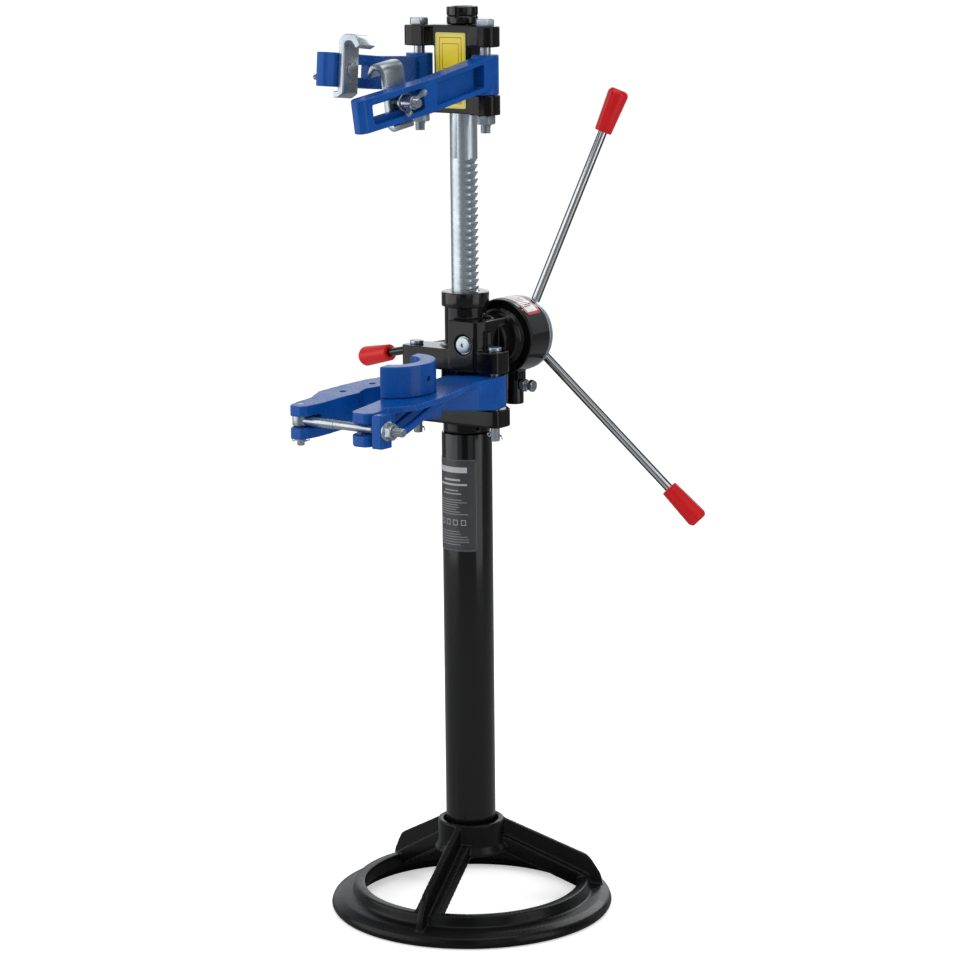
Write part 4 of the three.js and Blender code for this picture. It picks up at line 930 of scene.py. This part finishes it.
top_nut = lathe([(12.3, 994.3, 0.4), (16, 994.3), (17, 995.6, 0.5), (17, 1002.2, 0.3),
                 (16.1, 1003.2, 0.3), (17, 1004.4, 0.3), (17, 1013.28, 0.9),
                 (12.3, 1013.28, 0.7)], 128)
for angle in (-75, 15, 105, 195):
    slot = place(box(14.6, 20, -2.2, 2.2, 1001, 1020), Matrix.Rotation(radians(angle), 4, "Z"))
    top_nut = minus(top_nut, slot)
piece("top_nut", top_nut, BLACK_GLOSS, 30)
for side, sign in SIDES:
    axis = Matrix.Translation((sign * UPPER_BOLT_X, PIN_Y, 0))
    bolt = union(threaded(5.95, 880, 902, 1.75, start=1.0, end=0), cylinder(6, 901.5, 994.4),
                 hex_nut(18.6, 994.1, 1001.6, turn_deg=12, chamfer_low=False))
    piece("arm_bolt_" + side, place(bolt, axis), ZINC)
    piece("arm_nut_" + side, place(hex_nut(18.6, 889.4, 899.2, 6.15, turn_deg=20), axis), ZINC)

# ------------------------------------------------------------------ upper arms, hooks, wing nuts
ARM_HEIGHT, ARM_KINK, ARM_LENGTH = 35, 94, 196
# side, sign, yaw, centre height, slopes of the hub and tip halves, hook distance, hook height
ARMS = (("right", 1, 8.6, 945.5, -0.217, -0.157, 122.5, 42),
        ("left", -1, 4.7, 942.3, 0.06, 0.101, 166, 37))


def arm_frame(sign, yaw):
    """Frame at the arm's hinge, with x along the arm."""
    along_x, along_y = -sign * sin(radians(yaw)), -cos(radians(yaw))
    return Matrix(((along_x, -sign * along_y, 0, sign * UPPER_BOLT_X),
                   (along_y, sign * along_x, 0, PIN_Y), (0, 0, 1, 0), (0, 0, 0, 1)))


def upper_arm(side, hinge, centre, hub_slope, tip_slope):
    """Builds the arm and returns the frame at its kink and the tilt of its tip half."""
    half = ARM_HEIGHT / 2
    inner = prism([(0, ARM_HUB_R), (14, 13), (60, 11.4), (ARM_KINK + 1, 10), (ARM_KINK + 1, -10),
                   (60, -9.2), (16, -9.5), (0, -ARM_HUB_R)], -half, half)
    pocket = prism([(15.2, 3.4), (ARM_KINK - 12, 3.4, 6), (ARM_KINK - 2, 30), (15.2, 30)],
                   -half + 5.4, half - 5.4)
    inner = minus(inner, pocket, box(15.2, 21.4, -30, 30, -half + 5.5, half - 6))
    inner = place(inner, Matrix(((1, 0, 0, 0), (0, 1, 0, 0), (hub_slope, 0, 1, centre),
                                 (0, 0, 0, 1))))
    tilt = atan(tip_slope)
    kink = (Matrix.Translation((ARM_KINK, 0, centre + hub_slope * ARM_KINK))
            @ Matrix.Rotation(-tilt, 4, "Y"))
    length = (ARM_LENGTH - ARM_KINK) / cos(tilt)
    tip = prism([(-3, -10), (length - 9, -10, 6), (length, -4, 5), (length, 6, 5),
                 (length - 7, 10, 5), (-3, 10)], -half, half)
    far = length - 17.5
    tip = minus(tip, prism_y([(10, -11.2, 4), (far, -11.2, 4), (far, 11.2, 4), (10, 11.2, 4)],
                             -1.6, 30),
                prism_y([(12, -6.6, 6), (length - 19, -6.6, 6), (length - 19, 6.6, 6),
                         (12, 6.6, 6)], -30, 5))
    arm = minus(union(cylinder(ARM_HUB_R, 921.2, 963.6), inner, place(tip, kink)),
                cylinder(6.25, 900, 990))
    cast_piece("upper_arm_" + side, place(arm, hinge), BLUE, 0.62)
    return hinge @ kink, tilt


def hook_set(side, mount, top):
    """Hook, bolt, washer and wing nut; the bolt lies along the mount's y."""
    near = -10.35                  # face against the arm
    outer = near - 7
    hook = prism([(near, -21.8), (-5, -22.2, 2), (-5, -28.6, 2), (-10.5, -29, 7),
                  (outer, -24, 3), (outer, top - 7, 7), (outer - 9, top - 7.6, 5),
                  (outer - 13.4, top - 15, 1.2), (outer - 19.4, top - 11.6, 1.2),
                  (outer - 12.6, top, 9), (near, top, 13)], -14.5, 14.5, 8)
    hook = place(bevel(hook, width=0.9, segments=3, angle=50), XYZ_TO_YZX)
    piece("hook_" + side, place(minus(hook, bar((0, -30, 0), (0, 0, 0), 5.35)), mount), ZINC)
    axis = mount @ Z_TO_Y
    bolt = union(lathe([(0, outer - 1.6), (7.5, outer - 1.6, 0.6), (7.5, outer - 0.3, 0.2),
                        (0, outer - 0.3)], 64),
                 cylinder(5, outer - 0.5, -2), threaded(4.95, -2.2, 20.5, 1.5, start=0.6, end=1.0))
    piece("hook_bolt_" + side, place(bolt, axis), ZINC)
    washer = lathe([(5.3, -1.3, 0.2), (10.4, -1.3, 0.3), (10.4, 0.9, 0.5), (5.3, 0.9, 0.2)], 64)
    piece("hook_washer_" + side, place(washer, axis), ZINC)
    nut = place(turned([(5.2, 1.2), (8.6, 1.2), (7, 14), (5.2, 14)], 64), Z_TO_Y)
    wing = prism([(5, 6), (8.2, 6, 1), (10.2, 10.8, 2), (17.5, 12.5, 3), (19, 17.5, 2.4),
                  (17, 20, 2), (13, 20, 2.4), (9.5, 15, 3), (5, 12)], -1.7, 1.7)
    for angle in (32, 212):
        nut = union(nut, place(wing, Matrix.Rotation(radians(angle), 4, "Y")))
    nut = minus(nut, bar((0, -5, 0), (0, 30, 0), 5.2))
    cast_piece("wing_nut_" + side, place(nut, mount), ZINC, 0.32, smooth=4, keep=0.5)


for side, sign, yaw, centre, hub_slope, tip_slope, hook_distance, hook_top in ARMS:
    kink, tilt = upper_arm(side, arm_frame(sign, yaw), centre, hub_slope, tip_slope)
    hook_x = (hook_distance - ARM_KINK) / cos(tilt)
    hook_set(side, kink @ Matrix.Translation((hook_x, 0, 0)), hook_top)

# ------------------------------------------------------------------ lower arms, cup
ARM_Z0, ARM_Z1 = LOWER_ARM_Z
ARM_MIDDLE = (ARM_Z0 + ARM_Z1) / 2
FORK_Z = (ARM_MIDDLE - 6.4, ARM_MIDDLE + 6.4)   # slot at the tips of both arms
droop = Matrix(((1, 0, 0, 0), (0, 1, 0, 0), (0, DROOP, 1, -DROOP * PIN_Y), (0, 0, 0, 1)))

right_arm = prism([
    (62.6, -18, 4), (62.4, -33, 4), (54.5, -63.5, 10), (64.8, -110, 12), (68, -146, 14),
    (67, -186, 8), (58.5, -199, 6), (46, -212.5, 8), (51.7, -229, 6), (51.7, -238, 6),
    (45, -247.4, 7), (30, -247.4, 7), (23, -240, 5), (15.2, -177.7, 20), (12, -120, 30),
    (4.5, -64, 12), (3, -44, 8), (22, -36, 8), (41, -10, 8), (52, -6.8, 4), (61, -9, 6)],
    *LOWER_ARM_Z)
hollow = prism([(90, -54), (57, -56), (35, -88, 6), (20.6, -110, 8), (23.4, -178, 10),
                (25.5, -205, 5), (90, -205)], ARM_Z0 - 5, ARM_Z1 - 6.5)
# two sloping ribs stay standing in the hollow
hollow = minus(hollow,
               prism_x([(-207, 584), (-207, 592), (-138, 613), (-104, 613)], 55.5, 61),
               prism_x([(-207, 581), (-190, 581), (-98, 613), (-128, 613), (-207, 590)], 37, 42))
# blank raised patch on the hub's side
patch_centre = Vector((58.45, -48.25))
patch_along = Vector((-0.251, -0.968))
patch_out = Vector((0.968, -0.251))
patch = prism([tuple(patch_centre + patch_along * length + patch_out * height)
               for length, height in ((9, -1), (9, 0.9), (-9, 0.9), (-9, -1))], 603, 611.5)
right_arm = minus(union(right_arm, patch), hollow,
                  prism_x([(-30, 560), (-92, 560), (-92, 590), (-30, 581.9)], -20, 95),
                  box(0, 90, -262, -223, *FORK_Z), cylinder(5.25, 570, 630, LOWER_PIN_X, PIN_Y))
cast_piece("lower_arm_right", place(right_arm, droop), BLUE, 0.72)

left_arm = prism([
    (-63, -9, 6), (-52, -6.6, 4), (-40, -10, 8), (-31, -42, 12), (-25, -90, 14),
    (-27.5, -124, 10), (-34, -141, 8), (-31, -152.5, 6), (-26.5, -162, 5), (-29.7, -188, 14),
    (-30.5, -221, 8), (-35, -242, 4), (-39, -247.4, 4), (-53, -247.4, 5), (-57.5, -240, 5),
    (-59.4, -224, 8), (-59.8, -203, 8), (-72, -173, 14), (-70, -136, 20), (-64.5, -97, 12),
    (-56, -78, 12), (-64.6, -33, 6), (-65, -18, 4)], *LOWER_ARM_Z)
left_arm = minus(left_arm,
                 prism([(-48, -60, 4), (-38, -60, 4), (-37, -200, 4), (-52, -200, 4),
                        (-60, -170, 4), (-58, -110, 4)], ARM_Z0 - 5, ARM_Z0 + 21),
                 box(-90, 0, -262, -221.5, *FORK_Z),
                 cylinder(3.4, 560, 640, -47.3, -163), cylinder(3.4, 560, 640, -43.3, -115.4),
                 cylinder(5.25, 570, 630, -LOWER_PIN_X, PIN_Y), cylinder(4.15, 560, 640, *TIE_EYE))
cast_piece("lower_arm_left", place(left_arm, droop), BLUE, 0.72)

CUP_X, CUP_Y, CUP_INNER, CUP_OUTER = 7, -137, 23.6, 41
CUP_Z0, CUP_Z1 = ARM_Z1 + 0.3, ARM_Z1 + 33.8
cup = place(lathe([(CUP_INNER, CUP_Z0, 0.5), (CUP_OUTER, CUP_Z0, 0.5), (CUP_OUTER, CUP_Z1, 1.2),
                   (CUP_INNER, CUP_Z1, 1.2)], 128), Matrix.Translation((CUP_X, CUP_Y, 0)))
cup = minus(cup, prism([(4, -60), (4, -96), (13, -178), (14, -200), (-80, -200), (-80, -60)],
                       600, 680),
            bar((CUP_X + 15, CUP_Y, ARM_Z1 + 17), (CUP_X + 50, CUP_Y, ARM_Z1 + 17), 2.8, 32))
cast_piece("spring_cup", place(cup, droop), BLUE, 0.6, smooth=5)

# ------------------------------------------------------------------ fork pin, tie rod, saddle, nut
EYE_X, EYE_Y = TIE_EYE
FORK_COTTER_Z = 569.4
top = ARM_Z1 + DROOP * (EYE_Y - PIN_Y)
fork_pin = place(lathe([(0, 564), (4, 564, 0.8), (4, top - 0.1, 0.6), (0, top - 0.1)], 48),
                 Matrix.Translation((EYE_X, EYE_Y, 0)))
hole = bar((EYE_X - 8, EYE_Y, FORK_COTTER_Z), (EYE_X + 8, EYE_Y, FORK_COTTER_Z), 1.25, 24)
piece("fork_pin", minus(fork_pin, hole), ZINC)
split_pin("fork_cotter", EYE_Y, FORK_COTTER_Z, EYE_X - 8.4, EYE_X + 8.5, 1.7,
          (EYE_X + 12.2, EYE_Y, 571.0))
tie_frame = Matrix.Translation((*TIE_EYE, 591)) @ Matrix.Rotation(atan(-0.04), 4, "Z")
tie = union(lathe([(0, -5.6), (8.6, -5.6, 0.9), (8.6, 5.6, 0.9), (0, 5.6)], 64),
            bar((5, 0, 0), (47, 0, 0), 5), bar((46, 0, 0), (98.5, 0, 0), 4.6),
            place(threaded(4.6, 98, 139, 1.5, depth=0.75, start=1.0, end=1.2), Z_TO_X))
piece("tie_rod", place(minus(tie, cylinder(4.15, -10, 10)), tie_frame), ZINC)
SADDLE_X = 103.4                   # distance along the tie rod
saddle = prism([(SADDLE_X, -10, 2), (SADDLE_X + 13.2, -8.5, 3), (SADDLE_X + 13.2, 9, 3),
                (SADDLE_X, 12, 2)], -18.5, 17)
saddle = minus(saddle, prism_y([(SADDLE_X - 5, 17.2), (SADDLE_X + 3, 17.2), (SADDLE_X - 5, 12)],
                               -30, 30),
               bar((SADDLE_X - 4, 0, 0), (SADDLE_X + 30, 0, 0), 5.2))
cast_piece("tie_saddle", place(saddle, tie_frame), BLUE, 0.45, smooth=5, keep=0.5)
nut = union(turned([(5.0, 0), (10.2, 0), (10.2, 1.4), (8.4, 3), (5.0, 3)], 64),
            hex_nut(15.6, 1.5, 9.6, 4.9, chamfer_low=False))
nut = minus(nut, cylinder(4.85, -2, 14))
piece("tie_nut", place(nut, tie_frame @ Matrix.Translation((SADDLE_X + 13.5, 0, 0)) @ Z_TO_X),
      ZINC)

# ------------------------------------------------------------------ CAD nodes that stay
KEPT = {BRONZE: ("bearing_bush_front", "bearing_bush_rear"),
        STEEL: ("pawl_plunger", "pawl_spring", "pawl_plug", "pinion_shaft", "ratchet_wheel",
                "rack_stop_washer", "rack_stop_screw"),
        FRICTION: ("friction_disc_inner", "friction_disc_outer")}
FINISH_OF = {node: finish for finish, nodes in KEPT.items() for node in nodes}
for node, obj in frame["nodes"].items():
    if not obj.hide_render:
        obj.data.materials.clear()
        obj.data.materials.append(FINISH_OF[node].material)

# ------------------------------------------------------------------ camera, metres
OFFSET = Vector((ORIGIN[0] / 1000, ORIGIN[1] / 1000, 0))
HEADING = radians(35)
CAMERA_DISTANCE, CAMERA_HEIGHT = 3.3525, 1.168
YAW, DOWN, ROLL = 0.0042, 0.199, -0.0101   # radians


def turn(vector):
    """From axes lined up with the camera's heading to the frame's axes."""
    x, y, z = vector
    return Vector((cos(HEADING) * x - sin(HEADING) * y, sin(HEADING) * x + cos(HEADING) * y, z))


forward = Vector((sin(YAW) * cos(DOWN), cos(YAW) * cos(DOWN), -sin(DOWN)))
level = Vector((cos(YAW), -sin(YAW), 0))
upright = level.cross(forward)
right = turn(cos(ROLL) * level + sin(ROLL) * upright)
up = turn(-sin(ROLL) * level + cos(ROLL) * upright)
forward = turn(forward)
camera_data = bpy.data.cameras.new("camera")
camera_data.sensor_width = 36
camera_data.lens = 115.3875
camera_data.clip_start, camera_data.clip_end = 0.1, 200
camera = add_object("camera", camera_data)
camera.matrix_world = (Matrix.Translation(turn((0, -CAMERA_DISTANCE, CAMERA_HEIGHT)) + OFFSET)
                       @ Matrix((right, up, -forward)).transposed().to_4x4())
SCENE.camera = camera


# ------------------------------------------------------------------ floor
def floor_material():
    """Pale to the camera, darker in reflections."""
    look = Material("pale_floor")
    rays = look.node("LightPath").outputs
    shade = look.mix(look.noise(3, 3), (0.90, 0.90, 0.90), (0.92, 0.92, 0.92))
    look.set(Base_Color=look.mix(rays["Is Glossy Ray"], shade, (0.28, 0.285, 0.29)),
             Roughness=0.75, Specular_IOR_Level=0.0, Emission_Color=(1, 1, 1, 1),
             Emission_Strength=look.times(rays["Is Camera Ray"], 0.48))
    return look.material


floor_mesh = mesh([(-60, -60, 0), (60, -60, 0), (60, 60, 0), (-60, 60, 0)], [(0, 1, 2, 3)])
floor_mesh.materials.append(floor_material())
floor = add_object("floor", floor_mesh)
floor.location.z = -0.0005


# ------------------------------------------------------------------ lights
def area_light(name, position, target, size, power):
    """Panel of (width, height) metres, placed on the camera's heading and aimed at the target."""
    light = bpy.data.lights.new(name, "AREA")
    light.energy = power
    light.shape = "RECTANGLE"
    light.size, light.size_y = size
    obj = add_object(name, light)
    obj.location = turn(position) + OFFSET
    path = turn(target) + OFFSET - obj.location
    obj.rotation_mode = "QUATERNION"
    obj.rotation_quaternion = path.to_track_quat("-Z", "Y")


# the dark gap between the key panel on the left and the fill on the right gives round metal bands
area_light("key", (-2.17, -0.45, 1.12), target=(0, 0, 0.85), size=(3.0, 2.1), power=27)
area_light("fill", (1.8, -1.35, 1.1), target=(0, 0, 0.85), size=(1.35, 2.1), power=10)
area_light("top", (0.1, -0.3, 2.7), target=(0, 0, 0.5), size=(1.9, 1.9), power=15)
area_light("rim", (1.2, 2.0, 1.8), target=(0, 0, 0.6), size=(0.9, 1.5), power=12)


# ------------------------------------------------------------------ world
def studio_world():
    """Even white light; shiny surfaces see upright bands and a bright wall behind the object."""
    world = bpy.data.worlds.new("studio")
    sky = Graph(world, "OutputWorld", "Generated")
    x, y, z = sky.node("SeparateXYZ", {0: sky.co}).outputs
    azimuth = sky.math("ARCTAN2", y, x)
    # a sine has no second operand, so 0.5 is the socket's idle default
    wave = sky.math("SINE", sky.times(azimuth, 7.0), 0.5)
    bands = sky.ramp(wave, -0.15, 0.35, 0.05, 0.52, kind="SMOOTHSTEP")
    ahead = sky.math("ADD", sky.times(x, forward.x), sky.times(y, forward.y))
    wall = sky.times(sky.ramp(ahead, 0.70, 0.90, 0.0, 1.0, kind="SMOOTHSTEP"),
                     sky.ramp(z, 0.0, 0.08, 0.0, 0.85, kind="SMOOTHSTEP"))
    even = sky.node("Background", {0: (1, 1, 1, 1), 1: 0.62})
    # 0.30 would be the strength without the pattern linked after it
    mirrored = sky.node("Background", {0: (0.92, 0.96, 1, 1), 1: 0.30})
    sky.put(mirrored.inputs[1], sky.math("ADD", bands, wall))
    glossy = sky.node("LightPath").outputs["Is Glossy Ray"]
    mixed = sky.node("MixShader", {0: glossy, 1: even.outputs[0], 2: mirrored.outputs[0]})
    sky.put(sky.out.inputs[0], mixed.outputs[0])
    return world


SCENE.world = studio_world()
SCENE.view_settings.view_transform = "Standard"
SCENE.view_settings.look = "None"
